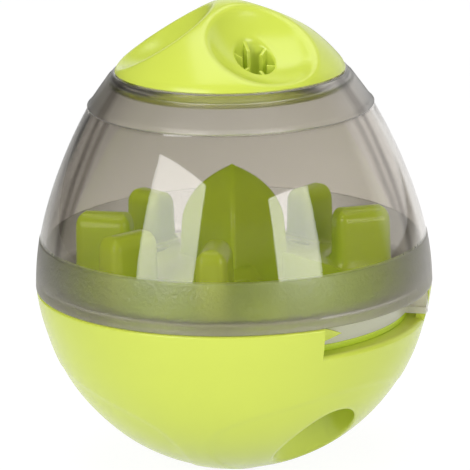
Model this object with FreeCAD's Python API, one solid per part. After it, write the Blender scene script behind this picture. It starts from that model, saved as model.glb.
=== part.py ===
"""Wobble treat dispenser: a weighted bowl, a twisting clear dome and a lift-out cap.

Millimetres, +Z up, origin at the centre of the flat spot that the bowl rests on.
The front of the object is -Y. An azimuth is in degrees from the front, growing towards +X.
"""
import FreeCAD, Part
import math
import os

from FreeCAD import Vector

# Bowl-shaped base
BASE_R = 57.2            # sphere that the bowl rocks on
FOOT_R = 10.0            # flat spot that it comes to rest on
BASE_WALL = 2.2
RIM_DROP = 2.82          # from the sphere's middle down to the top of the rim
RIM_OUT = 0.6            # how far the rim's outside stands out from the sphere's radius
RIM_WALL = 4.1           # thickness of the rim's wall
BELT_H = 12.2            # height of the steeper belt under the rim
LEDGE_DROP = 8.5         # from the rim's top down to the ledge that carries the tray
LEDGE_T = 2.2
LEDGE_W = 9.7            # how far the ledge reaches in from the rim's wall

# Outlet: a notch in the rim, at the front right
NOTCH_FROM = 26.0
NOTCH_TO = 78.3
SILL_ROUND = 1.2         # rounded outer edge of the notch's floor

# Round scoops moulded into the underside of the bowl
SCOOP_R = 11.7
SCOOP_RISE = 3.6         # from a scoop's outermost edge up to its roof
SCOOP_CLEAR = 3.1        # between the weight and a scoop's wall
SCOOP_FIRST = 38.0
SCOOP_COUNT = 3

# Iron weight, its posts in the bowl, and its screws
WEIGHT_CLEAR = 1.4       # between the weight and the tall bosses under the tray
WEIGHT_T = 12.5
WEIGHT_Z = 7.2           # its underside, on top of the posts
WEIGHT_EDGE = 1.0        # chamfer around the weight
WEIGHT_HOLE_AT_R = 12.0
WEIGHT_HEAD_SINK = 1.0   # from the weight's top down to its screws' heads
POST_R = 3.6
POST_COUNT = 3

# Tray inside the dome: deck, centre peak, pegs and chute
TRAY_WALL = 1.8
FLANGE_T = 2.0           # flange that lies on the ledge
DECK_EDGE_H = 2.8        # deck's front edge, above the flange
DECK_RISE = 12.0         # from there up to the front of the peak's foot
DECK_TILT_DEG = 4.1      # how far the deck leans down to the front
FLANGE_LAP = 1.5         # how far the flange reaches under the dome's skirt
PEAK_W = 23.0            # across the flat sides of the peak
PEAK_SHOULDER_W = 21.8
PEAK_SHOULDER_H = 11.0
PEAK_BEND_W = 15.3
PEAK_BEND_H = 20.5
PEAK_H = 27.4
PEG_W = 9.7
PEG_D = 16.8
PEG_REAR_D = 14.2
PEG_H = 25.6             # above the deck's front edge
PEG_ROUND = 3.0
PEG_FRONT_IN = 9.4       # from the tray's edge in to the middle of a peg
PEG_CORNER_IN = 10.4
PEG_SIDE_IN = 11.5
PEG_REAR_IN = 12.9
PEG_PLACES = (           # azimuth, turn about its own middle, distance in from the edge, depth
    (-8.0, -8.0, PEG_FRONT_IN, PEG_D),
    (-51.0, -48.0, PEG_CORNER_IN, PEG_D),
    (-92.0, -104.0, PEG_SIDE_IN, PEG_D),
    (-137.0, -137.0, PEG_REAR_IN, PEG_REAR_D),
    (140.0, 140.0, PEG_REAR_IN, PEG_REAR_D),
    (93.0, 106.0, PEG_SIDE_IN, PEG_D),
)
CHUTE_FROM = 22.0
CHUTE_TO = 82.0
CHUTE_SIDE_DEG = 4.0     # width of the chute's side walls
CHUTE_FALL = 7.6         # from the peak's side to the tray's edge
CHUTE_HEAD_R = 4.0       # where the chute's floor ends under the peak
TRAY_SCREW_AT_R = 24.0
TRAY_SCREW_FIRST = 6.0
TRAY_SCREW_COUNT = 3
CUP_DEPTH = 9.0          # how deep each screw's cup goes below the deck

# Clear dome
DOME_OUT = 0.15          # how far the dome stands out from the rim
DOME_WALL = 2.0
SEAM = 0.3               # open seam between the bowl's rim and the dome
LOWER_BOW_R = 81.0       # the wall's two bows, in section
UPPER_BOW_R = 146.5
BOW_CHANGE_H = 23.8      # height above the rim where the bows meet
MOUTH_H = 63.9           # mouth's lip above the rim
TOP_BAND_W = 10.0        # raised band below the lip, measured upright
TOP_BAND_RAISE = 0.3
MOUTH_R = 31.8           # filling mouth
LIP_W = 2.6              # width of the lip around the mouth
LIP_ROUND = 0.8
COLLAR_WALL = 2.0
COLLAR_H = 4.4
SKIRT_WALL = 2.0
SKIRT_GAP = 0.4          # between the tray's edge and the dome's skirt
CHANNEL_W = 2.4          # between the skirt and the inside of the rim

# Twist of the dome: stop block, wedge, lugs and ribs
TWIST = 40.0             # the dome turns this far, clockwise seen from above
BLOCK_DEG = 2.7
BLOCK_PLAY_DEG = 0.3     # between the waiting block and the end of the notch
BLOCK_INSET = 0.5        # the block's outer face, behind the rim's outside
BLOCK_RECESS_DEG = 1.5
BLOCK_RECESS_H = 4.6
WEDGE_DEG = 8.0          # how far the wedge's point stands into the notch
WEDGE_ROOT_DEG = 12.0
WEDGE_H = 4.8
WINDOW_DEG = 36.0        # opening in the skirt that the treats leave by
WINDOW_H = 6.2
WINDOW_PLAY_DEG = 1.0    # between the stop block and the opening
LUG_DEG = 18.0
LUG_T = 2.3
LUG_CENTRES = (-5.0, -90.0, 150.0)
RIB_T = 2.4
RIB_BELOW_RIM = 0.8
RIB_SPARE_DEG = 3.0
PLAY = 0.3               # between pieces that slide past each other
SINK = 0.5               # how deep a rib or collar is rooted in the wall that it grows from

# Cap and its plug
CAP_SEAM = 0.4           # open seam between the lip and the cap
CAP_SET_IN = 0.5         # cap's edge, inside the lip's edge
CAP_CROWN_R = 49.5       # bow of the cap, in section
CAP_CROWN_OUT = 6.3      # how far beyond the axis the bow's centre lies
CAP_TIP_R = 20.0         # round tip
CAP_WALL = 2.0
DIMPLE_R = 23.7
DIMPLE_SINK = 9.6        # how deep each dimple goes below the cap's bow
DIMPLE_AT_R = 20.0
DIMPLE_RISE = 56.65      # how steeply a dimple faces up
DIMPLE_FIRST = 28.45
DIMPLE_COUNT = 3
DIMPLE_EDGE = 1.5        # rounding of the dimple's rim
SOCKET_R = 5.65          # upright round pocket in the middle of a dimple
SOCKET_AT_R = 14.8
SOCKET_SINK = 1.0        # from the cap's edge down to a socket's floor
SOCKET_WALL = 1.2
FIN_T = 1.0
FIN_TIP_R = 3.4          # how near a fin comes to the middle of its socket
FIN_SINK = 0.5           # from the dimple down to the top of a fin
FIN_COUNT = 6
PLUG_FIT = 0.08          # radial gap of the plug in the mouth
PLUG_DEPTH = 4.9
PLUG_WALL = 1.8
PLUG_FLOOR = 1.4
PLUG_ROUND = 0.6
PLUG_HEAD_SINK = 0.8     # from the plug's underside up to its screws' heads
CAP_SCREW_AT_R = 22.0
CAP_BOSS_R = 3.4

# Screws, all of one kind and in three lengths
SCREW_R = 1.25
SCREW_FIT = 0.05         # radial gap of a screw in the plastic it grips
SCREW_PASS = 0.3         # radial gap of a screw in a hole that it passes
HEAD_R = 2.5
HEAD_H = 1.6
HEAD_FIT = 0.5           # radial room around a head
CROSS_W = 0.7
CROSS_L = 2.8
GRIP = 5.0               # how deep a screw goes into its boss
WEIGHT_GRIP = 4.2

# Sizes that follow from those above
TOP = 4 * BASE_R         # height that clears everything, for cutting
OVER = BASE_WALL / 2     # how far a cutting shape runs past what it cuts
AXIS = Vector(0, 0, 1)
SPHERE_Z = math.sqrt(BASE_R**2 - FOOT_R**2)
RIM_Z = SPHERE_Z - RIM_DROP
WEIGHT_R = TRAY_SCREW_AT_R - POST_R - WEIGHT_CLEAR
SCOOP_AT_R = WEIGHT_R + SCOOP_CLEAR + BASE_WALL + SCOOP_R
SCOOP_TOP_Z = SPHERE_Z - math.sqrt(BASE_R**2 - (SCOOP_AT_R + SCOOP_R)**2) + SCOOP_RISE
RIM_R = BASE_R + RIM_OUT
RIM_IN_R = RIM_R - RIM_WALL
LEDGE_Z = RIM_Z - LEDGE_DROP
LEDGE_IN_R = RIM_IN_R - LEDGE_W
FLANGE_TOP_Z = LEDGE_Z + FLANGE_T
DECK_EDGE_Z = FLANGE_TOP_Z + DECK_EDGE_H
DECK_TOP_Z = DECK_EDGE_Z + DECK_RISE
SKIRT_R = RIM_IN_R - CHANNEL_W
SKIRT_IN_R = SKIRT_R - SKIRT_WALL
TRAY_R = SKIRT_IN_R - SKIRT_GAP
DOME_Z = RIM_Z + SEAM
DOME_R = RIM_R + DOME_OUT
LIP_Z = RIM_Z + MOUTH_H
BAND_Z = LIP_Z - TOP_BAND_W
LIP_R = MOUTH_R + LIP_W
CAP_Z = LIP_Z + CAP_SEAM
CAP_R = LIP_R - CAP_SET_IN
PLUG_R = MOUTH_R - PLUG_FIT
HOLE_R = SCREW_R + SCREW_FIT
PASS_R = SCREW_R + SCREW_PASS
HEAD_HOLE_R = HEAD_R + HEAD_FIT


def at(radius, azimuth, z=0.0):
    """Point at a distance from the axis, on a given azimuth."""
    a = math.radians(azimuth)
    return Vector(radius * math.sin(a), -radius * math.cos(a), z)


def section(r, z):
    """Point of a half section, which is drawn in the XZ plane."""
    return Vector(r, 0, z)


def spin(edges, degrees=360.0):
    """Solid that a closed half section sweeps about the axis."""
    face = Part.Face(Part.Wire(Part.__sortEdges__(edges)))
    return face.revolve(Vector(0, 0, 0), AXIS, degrees)


def outline(points):
    """Straight edges through the points and back to the first."""
    ends = points[1:] + points[:1]
    return [Part.LineSegment(a, b).toShape() for a, b in zip(points, ends)]


def turned(points):
    return spin(outline([section(r, z) for r, z in points]))


def ring(r_in, r_out, z_low, z_high):
    return turned([(r_in, z_low), (r_out, z_low), (r_out, z_high), (r_in, z_high)])


def sector(r_in, r_out, z_low, z_high, start, end):
    """Part of a ring, from one azimuth to another."""
    corners = [(r_in, z_low), (r_out, z_low), (r_out, z_high), (r_in, z_high)]
    piece = spin(outline([section(r, z) for r, z in corners]), end - start)
    piece.rotate(Vector(0, 0, 0), AXIS, start - 90.0)
    return piece


def post(radius, place, z_low, z_high):
    """Upright cylinder over a place in plan."""
    return Part.makeCylinder(radius, z_high - z_low, Vector(place.x, place.y, z_low), AXIS)


def bow(start, end, radius):
    """Arc between two section points that bulges away from the axis, and its centre."""
    middle = (start + end) * 0.5
    half = (end - start) * 0.5
    normal = Vector(-half.z, 0, half.x).normalize()
    if normal.x > 0:
        normal = normal * -1
    centre = middle + normal * math.sqrt(radius**2 - half.Length**2)
    crest = centre - normal * radius
    return Part.Arc(start, crest, end).toShape(), centre


def places(count, first, radius):
    """Points spaced evenly around the axis."""
    return [at(radius, first + i * 360.0 / count) for i in range(count)]


def screw(seat, tip, direction=1.0):
    """Pan-head screw along Z: its head lies above the seat (1) or below it (-1)."""
    length = abs(seat.z - tip.z)
    shank = Part.makeCylinder(SCREW_R, length, seat, AXIS * -direction)
    head = Part.makeCylinder(HEAD_R, HEAD_H, seat, AXIS * direction)
    head = head.makeFillet(HEAD_H / 2, [head.Edges[0]])
    body = shank.fuse(head).removeSplitter()
    depth = CROSS_W
    top = seat.z + direction * HEAD_H
    low = min(top, top - direction * depth)
    for wide, deep in ((CROSS_L, CROSS_W), (CROSS_W, CROSS_L)):
        corner = Vector(seat.x - wide / 2, seat.y - deep / 2, low)
        body = body.cut(Part.makeBox(wide, deep, depth, corner))
    return body


# The bowl: outside and inside

def sphere_r(radius, z):
    """Radius of a level slice through a sphere centred where the bowl is."""
    return math.sqrt(radius**2 - (z - SPHERE_Z)**2)


def bowl_outside():
    belt_z = RIM_Z - BELT_H
    foot = section(FOOT_R, 0)
    belt = section(sphere_r(BASE_R, belt_z), belt_z)
    rim = section(RIM_R, RIM_Z)
    edges = [
        bow(foot, belt, BASE_R)[0],
        bow(belt, rim, BASE_R)[0],
        Part.LineSegment(rim, section(0, RIM_Z)).toShape(),
        Part.LineSegment(section(0, RIM_Z), section(0, 0)).toShape(),
        Part.LineSegment(section(0, 0), foot).toShape(),
    ]
    return spin(edges)


def bowl_inside():
    """Hollow under the ledge, hollow above the ledge, and the hole in the ledge."""
    ball = Part.makeSphere(BASE_R - BASE_WALL, Vector(0, 0, SPHERE_Z))
    under = ball.common(Part.makeCylinder(BASE_R, LEDGE_Z - LEDGE_T, Vector(0, 0, 0), AXIS))
    above = Part.makeCylinder(RIM_IN_R, TOP, Vector(0, 0, LEDGE_Z), AXIS)
    hole = Part.makeCylinder(LEDGE_IN_R, TOP, Vector(0, 0, LEDGE_Z - LEDGE_T - OVER), AXIS)
    return under, above.fuse(hole)


def scoops(grow):
    return [post(SCOOP_R + grow, p, -OVER, SCOOP_TOP_Z + grow)
            for p in places(SCOOP_COUNT, SCOOP_FIRST, SCOOP_AT_R)]


def tray_seat_z():
    """Top of the tall bosses, under the cups of the tray."""
    return deck_z(TRAY_SCREW_AT_R) - CUP_DEPTH - TRAY_WALL


def base_ribs():
    """Ribs inside the rim that hold the dome's lugs down over their whole travel."""
    top = RIM_Z - RIB_BELOW_RIM
    reach = LUG_DEG / 2 + RIB_SPARE_DEG
    return [sector(SKIRT_R + PLAY, RIM_R - RIM_WALL / 2, top - RIB_T, top, c - TWIST - reach, c + reach)
            for c in LUG_CENTRES]


def base_wedge():
    """Rib that ends in the notch as a point and stops the dome's block."""
    top = RIM_Z - PLAY / 2
    start = NOTCH_FROM - WEDGE_ROOT_DEG
    rib = sector(SKIRT_R + PLAY, RIM_IN_R + PLAY, top - WEDGE_H, top, start, NOTCH_FROM + WEDGE_DEG)
    tip = at(RIM_IN_R, NOTCH_FROM + WEDGE_DEG, top - WEDGE_H * 0.6)
    point = [at(RIM_IN_R, NOTCH_FROM, top), tip, at(RIM_IN_R, NOTCH_FROM, top - WEDGE_H)]
    out = at(1.0, NOTCH_FROM + WEDGE_DEG / 2)
    near = [p - out * CHANNEL_W * 2 for p in point]
    prism = Part.Face(Part.makePolygon(near + near[:1])).extrude(out * CHANNEL_W * 4)
    root = sector(SKIRT_R, RIM_R, top - WEDGE_H, top, start, NOTCH_FROM)
    return rib.common(prism.fuse(root))


def sill_edges(body):
    """Outer edge of the notch's floor."""
    return [e for e in body.Edges
            if abs(e.BoundBox.ZMax - LEDGE_Z) < PLAY / 10 and e.BoundBox.ZLength < PLAY / 10
            and math.hypot(e.CenterOfMass.x, e.CenterOfMass.y) > RIM_IN_R * math.cos(math.radians(30))
            and min(math.hypot(v.X, v.Y) for v in e.Vertexes) > RIM_IN_R + SILL_ROUND]


def make_base():
    outside = bowl_outside()
    under, above = bowl_inside()
    for walled in scoops(BASE_WALL):
        under = under.cut(walled)
    for p in places(POST_COUNT, 0.0, WEIGHT_HOLE_AT_R):
        under = under.cut(post(POST_R, p, 0, WEIGHT_Z))
    for p in places(TRAY_SCREW_COUNT, TRAY_SCREW_FIRST, TRAY_SCREW_AT_R):
        under = under.cut(post(POST_R, p, 0, TOP))
    body = outside.cut(under).cut(above)
    for p in places(TRAY_SCREW_COUNT, TRAY_SCREW_FIRST, TRAY_SCREW_AT_R):
        boss = post(POST_R, p, LEDGE_Z - LEDGE_T - OVER, tray_seat_z())
        body = body.fuse(boss)
    for hollow in scoops(0.0):
        body = body.cut(hollow)
    notch = sector(RIM_IN_R - OVER, RIM_R + RIM_WALL, LEDGE_Z, TOP, NOTCH_FROM, NOTCH_TO)
    body = body.cut(notch)
    body = body.makeFillet(SILL_ROUND, sill_edges(body))
    for rib in base_ribs():
        body = body.fuse(rib)
    body = body.fuse(base_wedge())
    for p in places(POST_COUNT, 0.0, WEIGHT_HOLE_AT_R):
        body = body.cut(post(HOLE_R, p, WEIGHT_Z - WEIGHT_GRIP - PLAY, WEIGHT_Z + OVER))
    for p in places(TRAY_SCREW_COUNT, TRAY_SCREW_FIRST, TRAY_SCREW_AT_R):
        seat = tray_seat_z()
        body = body.cut(post(HOLE_R, p, seat - GRIP - PLAY, seat + OVER))
    return body.removeSplitter()


# The weight

def weight_seat_z():
    """Floor of the weight's counterbores, which its screws' heads press on."""
    return WEIGHT_Z + WEIGHT_T - HEAD_H - WEIGHT_HEAD_SINK


def make_weight():
    disc = Part.makeCylinder(WEIGHT_R, WEIGHT_T, Vector(0, 0, WEIGHT_Z), AXIS)
    disc = disc.makeChamfer(WEIGHT_EDGE, [e for e in disc.Edges if isinstance(e.Curve, Part.Circle)])
    for p in places(POST_COUNT, 0.0, WEIGHT_HOLE_AT_R):
        disc = disc.cut(post(PASS_R, p, 0, TOP))
        disc = disc.cut(post(HEAD_HOLE_R, p, weight_seat_z(), TOP))
    return disc


def make_weight_screws():
    seat = weight_seat_z()
    tip = WEIGHT_Z - WEIGHT_GRIP
    return [screw(Vector(p.x, p.y, seat), Vector(p.x, p.y, tip))
            for p in places(POST_COUNT, 0.0, WEIGHT_HOLE_AT_R)]


# The tray

def deck_z(r):
    """Height of the deck at the front, where it falls from the peak to the tray's edge."""
    foot = PEAK_W / math.sqrt(2)
    return DECK_TOP_Z - (DECK_TOP_Z - DECK_EDGE_Z) * (r - foot) / (TRAY_R - foot)


def deck(inset):
    """Shallow cone that leans to the front, and the upright wall around it."""
    foot = PEAK_W / math.sqrt(2)
    fall = math.atan2(DECK_TOP_Z - DECK_EDGE_Z, TRAY_R - foot) - math.radians(DECK_TILT_DEG)
    cone = turned([(0, 0), (TRAY_R + foot, 0),
                   (TRAY_R + foot, DECK_TOP_Z - inset - TRAY_R * math.tan(fall)),
                   (foot, DECK_TOP_Z - inset), (0, DECK_TOP_Z - inset)])
    cone.rotate(at(foot, 0.0, DECK_TOP_Z - inset), Vector(1, 0, 0), DECK_TILT_DEG)
    return cone.common(post(TRAY_R - inset, Vector(0, 0, 0), LEDGE_Z - inset, TOP))


def peak(inset):
    """Four-sided peak with bowed sides: two crossed arches, whose corners face front and side.

    Near its tip the sides lean in by about as much as they rise, so a wall inside is set in and
    down by its thickness over the root of two.
    """
    lean = inset / math.sqrt(2)
    base = LEDGE_Z
    flat = PEAK_W / 2 - inset
    shoulder = section(PEAK_SHOULDER_W / 2 - inset, DECK_TOP_Z + PEAK_SHOULDER_H)
    bend = section(PEAK_BEND_W / 2 - lean, DECK_TOP_Z + PEAK_BEND_H - lean)
    tip = section(0, DECK_TOP_Z + PEAK_H - inset)
    mirror = [Vector(-p.x, 0, p.z) for p in (shoulder, bend)]
    edges = [
        Part.LineSegment(section(-flat, base), section(flat, base)).toShape(),
        Part.LineSegment(section(flat, base), shoulder).toShape(),
        Part.Arc(shoulder, bend, tip).toShape(),
        Part.Arc(tip, mirror[1], mirror[0]).toShape(),
        Part.LineSegment(mirror[0], section(-flat, base)).toShape(),
    ]
    arch = Part.Face(Part.Wire(edges)).extrude(Vector(0, PEAK_W * 2, 0))
    arch.translate(Vector(0, -PEAK_W, 0))
    crossed = arch.copy()
    arch.rotate(Vector(0, 0, 0), AXIS, 45)
    crossed.rotate(Vector(0, 0, 0), AXIS, -45)
    return arch.common(crossed)


def peg(azimuth, turn, from_edge, depth, inset):
    """Blunt upright peg with rounded edges, or the hollow that comes up into it."""
    wide = PEG_W - 2 * inset
    deep = depth - 2 * inset
    base = LEDGE_Z if inset else DECK_EDGE_Z
    top = DECK_EDGE_Z + PEG_H - inset
    box = Part.makeBox(wide, deep, top - base, Vector(-wide / 2, -deep / 2, base))
    kept = [e for e in box.Edges if e.BoundBox.ZMax > base + OVER]
    box = box.makeFillet(PEG_ROUND - inset, kept)
    box.rotate(Vector(0, 0, 0), AXIS, turn)
    box.translate(at(TRAY_R - from_edge, azimuth))
    return box


def chute(drop, spread):
    """Space above the chute's floor."""
    low = FLANGE_TOP_Z - drop
    top = low + CHUTE_FALL * (TRAY_R - CHUTE_HEAD_R) / (TRAY_R - PEAK_W / 2)
    edges = outline([section(CHUTE_HEAD_R, top), section(TRAY_R, low), section(TRAY_R + OVER, low),
                     section(TRAY_R + OVER, TOP), section(CHUTE_HEAD_R, TOP)])
    space = spin(edges, CHUTE_TO - CHUTE_FROM + 2 * spread)
    space.rotate(Vector(0, 0, 0), AXIS, CHUTE_FROM - spread - 90.0)
    return space


def make_tray():
    spots = places(TRAY_SCREW_COUNT, TRAY_SCREW_FIRST, TRAY_SCREW_AT_R)
    cup_floor = deck_z(TRAY_SCREW_AT_R) - CUP_DEPTH
    body = deck(0.0).cut(chute(0.0, 0.0)).fuse(peak(0.0))
    hollow = deck(TRAY_WALL).cut(chute(TRAY_WALL, CHUTE_SIDE_DEG)).fuse(peak(TRAY_WALL))
    for place in PEG_PLACES:
        body = body.fuse(peg(*place, 0.0))
        hollow = hollow.fuse(peg(*place, TRAY_WALL))
    for p in spots:
        hollow = hollow.cut(post(HEAD_HOLE_R + TRAY_WALL, p, 0, TOP))
    flange = ring(LEDGE_IN_R, SKIRT_IN_R + FLANGE_LAP, LEDGE_Z, FLANGE_TOP_Z)
    body = body.cut(hollow).fuse(flange)
    for p in spots:
        body = body.cut(post(HEAD_HOLE_R, p, cup_floor, TOP))
        body = body.cut(post(PASS_R, p, 0, TOP))
        below = post(HEAD_HOLE_R + TRAY_WALL + OVER, p, 0, cup_floor - TRAY_WALL)
        body = body.cut(below)
    return body.removeSplitter()


def make_tray_screws():
    seat = deck_z(TRAY_SCREW_AT_R) - CUP_DEPTH
    tip = tray_seat_z() - GRIP
    return [screw(Vector(p.x, p.y, seat), Vector(p.x, p.y, tip))
            for p in places(TRAY_SCREW_COUNT, TRAY_SCREW_FIRST, TRAY_SCREW_AT_R)]


# The dome

def bow_centres():
    """Centres of the wall's lower and upper bows, which meet without a corner."""
    lower = section(DOME_R - LOWER_BOW_R, RIM_Z)
    rise = math.asin(BOW_CHANGE_H / LOWER_BOW_R)
    shift = UPPER_BOW_R - LOWER_BOW_R
    upper = lower - section(shift * math.cos(rise), shift * math.sin(rise))
    return lower, upper, rise


def wall_point(z, inset):
    """Point of the dome's wall at a height, set in by a thickness."""
    lower, upper, rise = bow_centres()
    low_r = LOWER_BOW_R - inset
    up_r = UPPER_BOW_R - inset
    if z < lower.z + low_r * math.sin(rise):
        return section(lower.x + math.sqrt(low_r**2 - (z - lower.z)**2), z)
    return section(upper.x + math.sqrt(up_r**2 - (z - upper.z)**2), z)


def dome_body(inset, z_low):
    """Solid of the dome's outside, or of the space inside its wall."""
    lower, upper, rise = bow_centres()
    change_z = lower.z + (LOWER_BOW_R - inset) * math.sin(rise)
    start = wall_point(z_low, inset)
    change = wall_point(change_z, inset)
    band = wall_point(BAND_Z, inset)
    slope = math.hypot(LIP_R - band.x, TOP_BAND_W) / TOP_BAND_W
    lip = section(LIP_R - inset * slope, LIP_Z)
    edges = [
        Part.Arc(start, wall_point((z_low + change_z) / 2, inset), change).toShape(),
        Part.Arc(change, wall_point((change_z + BAND_Z) / 2, inset), band).toShape(),
        Part.LineSegment(band, lip).toShape(),
        Part.LineSegment(lip, section(0, LIP_Z)).toShape(),
        Part.LineSegment(section(0, LIP_Z), section(0, z_low)).toShape(),
        Part.LineSegment(section(0, z_low), start).toShape(),
    ]
    return spin(edges)


def top_band():
    """Raised frosted band around the top of the wall."""
    low = wall_point(BAND_Z, 0.0)
    raised = low.x + TOP_BAND_RAISE
    bevel = TOP_BAND_RAISE / 3
    return turned([(low.x - SINK, BAND_Z), (raised - bevel, BAND_Z), (raised, BAND_Z + TOP_BAND_RAISE),
                   (LIP_R + bevel / 2, LIP_Z - LIP_ROUND), (LIP_R - SINK, LIP_Z - LIP_ROUND)])


def block_az():
    """Azimuths of the stop block, which waits at the right end of the notch."""
    end = NOTCH_TO - BLOCK_PLAY_DEG
    return end - BLOCK_DEG, end


def make_dome():
    floor_top = DOME_Z + DOME_WALL
    shell = dome_body(0.0, DOME_Z).cut(dome_body(DOME_WALL, floor_top))
    shell = shell.fuse(top_band())
    collar = ring(MOUTH_R, MOUTH_R + COLLAR_WALL, LIP_Z - COLLAR_H, LIP_Z)
    shell = shell.fuse(collar)
    shell = shell.cut(post(MOUTH_R, Vector(), LIP_Z - COLLAR_H - OVER, TOP))
    shell = shell.cut(post(SKIRT_IN_R, Vector(), 0, floor_top + OVER))
    lip_edges = [e for e in shell.Edges if isinstance(e.Curve, Part.Circle)
                 and abs(e.BoundBox.ZMax - LIP_Z) < PLAY / 10 and e.Curve.Radius > LIP_R - LIP_W / 2]
    shell = shell.makeFillet(LIP_ROUND, lip_edges)
    skirt = ring(SKIRT_IN_R, SKIRT_R, FLANGE_TOP_Z, DOME_Z + SINK)
    near, far = block_az()
    window_from = far + WINDOW_PLAY_DEG
    skirt = skirt.cut(sector(SKIRT_IN_R - OVER, SKIRT_R + OVER, 0, FLANGE_TOP_Z + WINDOW_H,
                             window_from, window_from + WINDOW_DEG))
    shell = shell.fuse(skirt)
    block = sector(SKIRT_R - SINK, RIM_R - BLOCK_INSET, FLANGE_TOP_Z, DOME_Z + SINK, near, far)
    recess_top = DOME_Z - PLAY
    recess = sector(SKIRT_R + PLAY, RIM_IN_R, recess_top - BLOCK_RECESS_H, recess_top,
                    near - BLOCK_RECESS_DEG, near + BLOCK_RECESS_DEG)
    shell = shell.fuse(block.cut(recess))
    lug_top = RIM_Z - RIB_BELOW_RIM - RIB_T - PLAY
    for c in LUG_CENTRES:
        lug = sector(SKIRT_R - SINK, RIM_IN_R - PLAY, lug_top - LUG_T, lug_top,
                     c - LUG_DEG / 2, c + LUG_DEG / 2)
        shell = shell.fuse(lug)
    return shell.removeSplitter()


# The cap

def crown_centre():
    """Centre of the cap's bow, which lies beyond the axis, as in a pointed arch."""
    drop = math.sqrt(CAP_CROWN_R**2 - (CAP_R + CAP_CROWN_OUT)**2)
    return section(-CAP_CROWN_OUT, CAP_Z - drop)


def crown(inset):
    """Cap's bowed outside with its round tip, or the space inside its wall."""
    centre = crown_centre()
    radius = CAP_CROWN_R - inset
    tip_r = CAP_TIP_R - inset
    tip_centre = section(0, centre.z + math.sqrt((radius - tip_r)**2 - centre.x**2))
    lean = math.atan2(tip_centre.z - centre.z, tip_centre.x - centre.x)
    start_lean = math.asin((CAP_Z - centre.z) / radius)

    def on(middle, r, angle):
        return middle + section(r * math.cos(angle), r * math.sin(angle))

    start = on(centre, radius, start_lean)
    join = on(centre, radius, lean)
    top = on(tip_centre, tip_r, math.pi / 2)
    edges = [
        Part.Arc(start, on(centre, radius, (start_lean + lean) / 2), join).toShape(),
        Part.Arc(join, on(tip_centre, tip_r, (lean + math.pi / 2) / 2), top).toShape(),
        Part.LineSegment(top, section(0, CAP_Z)).toShape(),
        Part.LineSegment(section(0, CAP_Z), start).toShape(),
    ]
    return spin(edges)


def crown_z(r):
    centre = crown_centre()
    return centre.z + math.sqrt(CAP_CROWN_R**2 - (r - centre.x)**2)


def dimple_axis(azimuth):
    """Bottom of a dimple and the direction that it faces."""
    rise = math.radians(DIMPLE_RISE)
    out = at(math.cos(rise), azimuth, math.sin(rise))
    bottom = at(DIMPLE_AT_R, azimuth, crown_z(DIMPLE_AT_R)) - out * DIMPLE_SINK
    return bottom, out


def dimple_azimuths():
    return [DIMPLE_FIRST + i * 360.0 / DIMPLE_COUNT for i in range(DIMPLE_COUNT)]


def facing(spot, azimuth, out):
    """Placement at a spot, with its X axis the way a dimple faces."""
    side = at(1.0, azimuth + 90.0)
    return FreeCAD.Placement(spot, FreeCAD.Rotation(out, side.cross(out), side, "XZY"))


def dimple(azimuth, grow):
    """Ball that scoops a dimple, with its poles clear of the cap."""
    bottom, out = dimple_axis(azimuth)
    ball = Part.makeSphere(DIMPLE_R + grow)
    ball.Placement = facing(bottom + out * DIMPLE_R, azimuth, out)
    return ball


def socket(azimuth, grow, top=TOP):
    return post(SOCKET_R + grow, at(SOCKET_AT_R, azimuth), CAP_Z - SOCKET_SINK - grow, top)


def fins(azimuth):
    """Upright fins around a socket's wall, one of them on the side of the cap's middle."""
    root = SOCKET_R + SOCKET_WALL / 2
    low = CAP_Z - SOCKET_SINK - SOCKET_WALL / 2
    made = []
    for i in range(FIN_COUNT):
        fin = Part.makeBox(root - FIN_TIP_R, FIN_T, CAP_R, Vector(FIN_TIP_R, -FIN_T / 2, low))
        fin.rotate(Vector(0, 0, 0), AXIS, azimuth + 90.0 + i * 360.0 / FIN_COUNT)
        fin.translate(at(SOCKET_AT_R, azimuth))
        made.append(fin.cut(dimple(azimuth, FIN_SINK)))
    return made


def cap_screw_places():
    return places(DIMPLE_COUNT, DIMPLE_FIRST + 180.0 / DIMPLE_COUNT, CAP_SCREW_AT_R)


def plug_z():
    return CAP_Z - PLUG_DEPTH


def boss_z():
    """Where the cap's bosses meet the roofs of the plug's screw cups."""
    return plug_z() + PLUG_HEAD_SINK + HEAD_H + PLUG_FLOOR


def make_cap():
    outside = crown(0.0)
    inside = crown(CAP_WALL)
    for azimuth in dimple_azimuths():
        outside = outside.cut(dimple(azimuth, 0.0))
        inside = inside.cut(dimple(azimuth, CAP_WALL)).cut(socket(azimuth, SOCKET_WALL))
    rims = [e for e in outside.Edges if e.BoundBox.ZMin > CAP_Z + OVER and e.Length > DIMPLE_R]
    outside = outside.makeFillet(DIMPLE_EDGE, rims)
    body = outside.cut(inside)
    for azimuth in dimple_azimuths():
        body = body.fuse(socket(azimuth, SOCKET_WALL, CAP_Z + OVER)).cut(socket(azimuth, 0.0))
        for fin in fins(azimuth):
            body = body.fuse(fin)
    for p in cap_screw_places():
        high = post(CAP_BOSS_R, p, CAP_Z, TOP).common(crown(CAP_WALL / 2))
        boss = high.fuse(post(CAP_BOSS_R, p, boss_z(), CAP_Z + OVER))
        body = body.fuse(boss).cut(post(HOLE_R, p, boss_z() - OVER, boss_z() + GRIP + PLAY))
    return body


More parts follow.
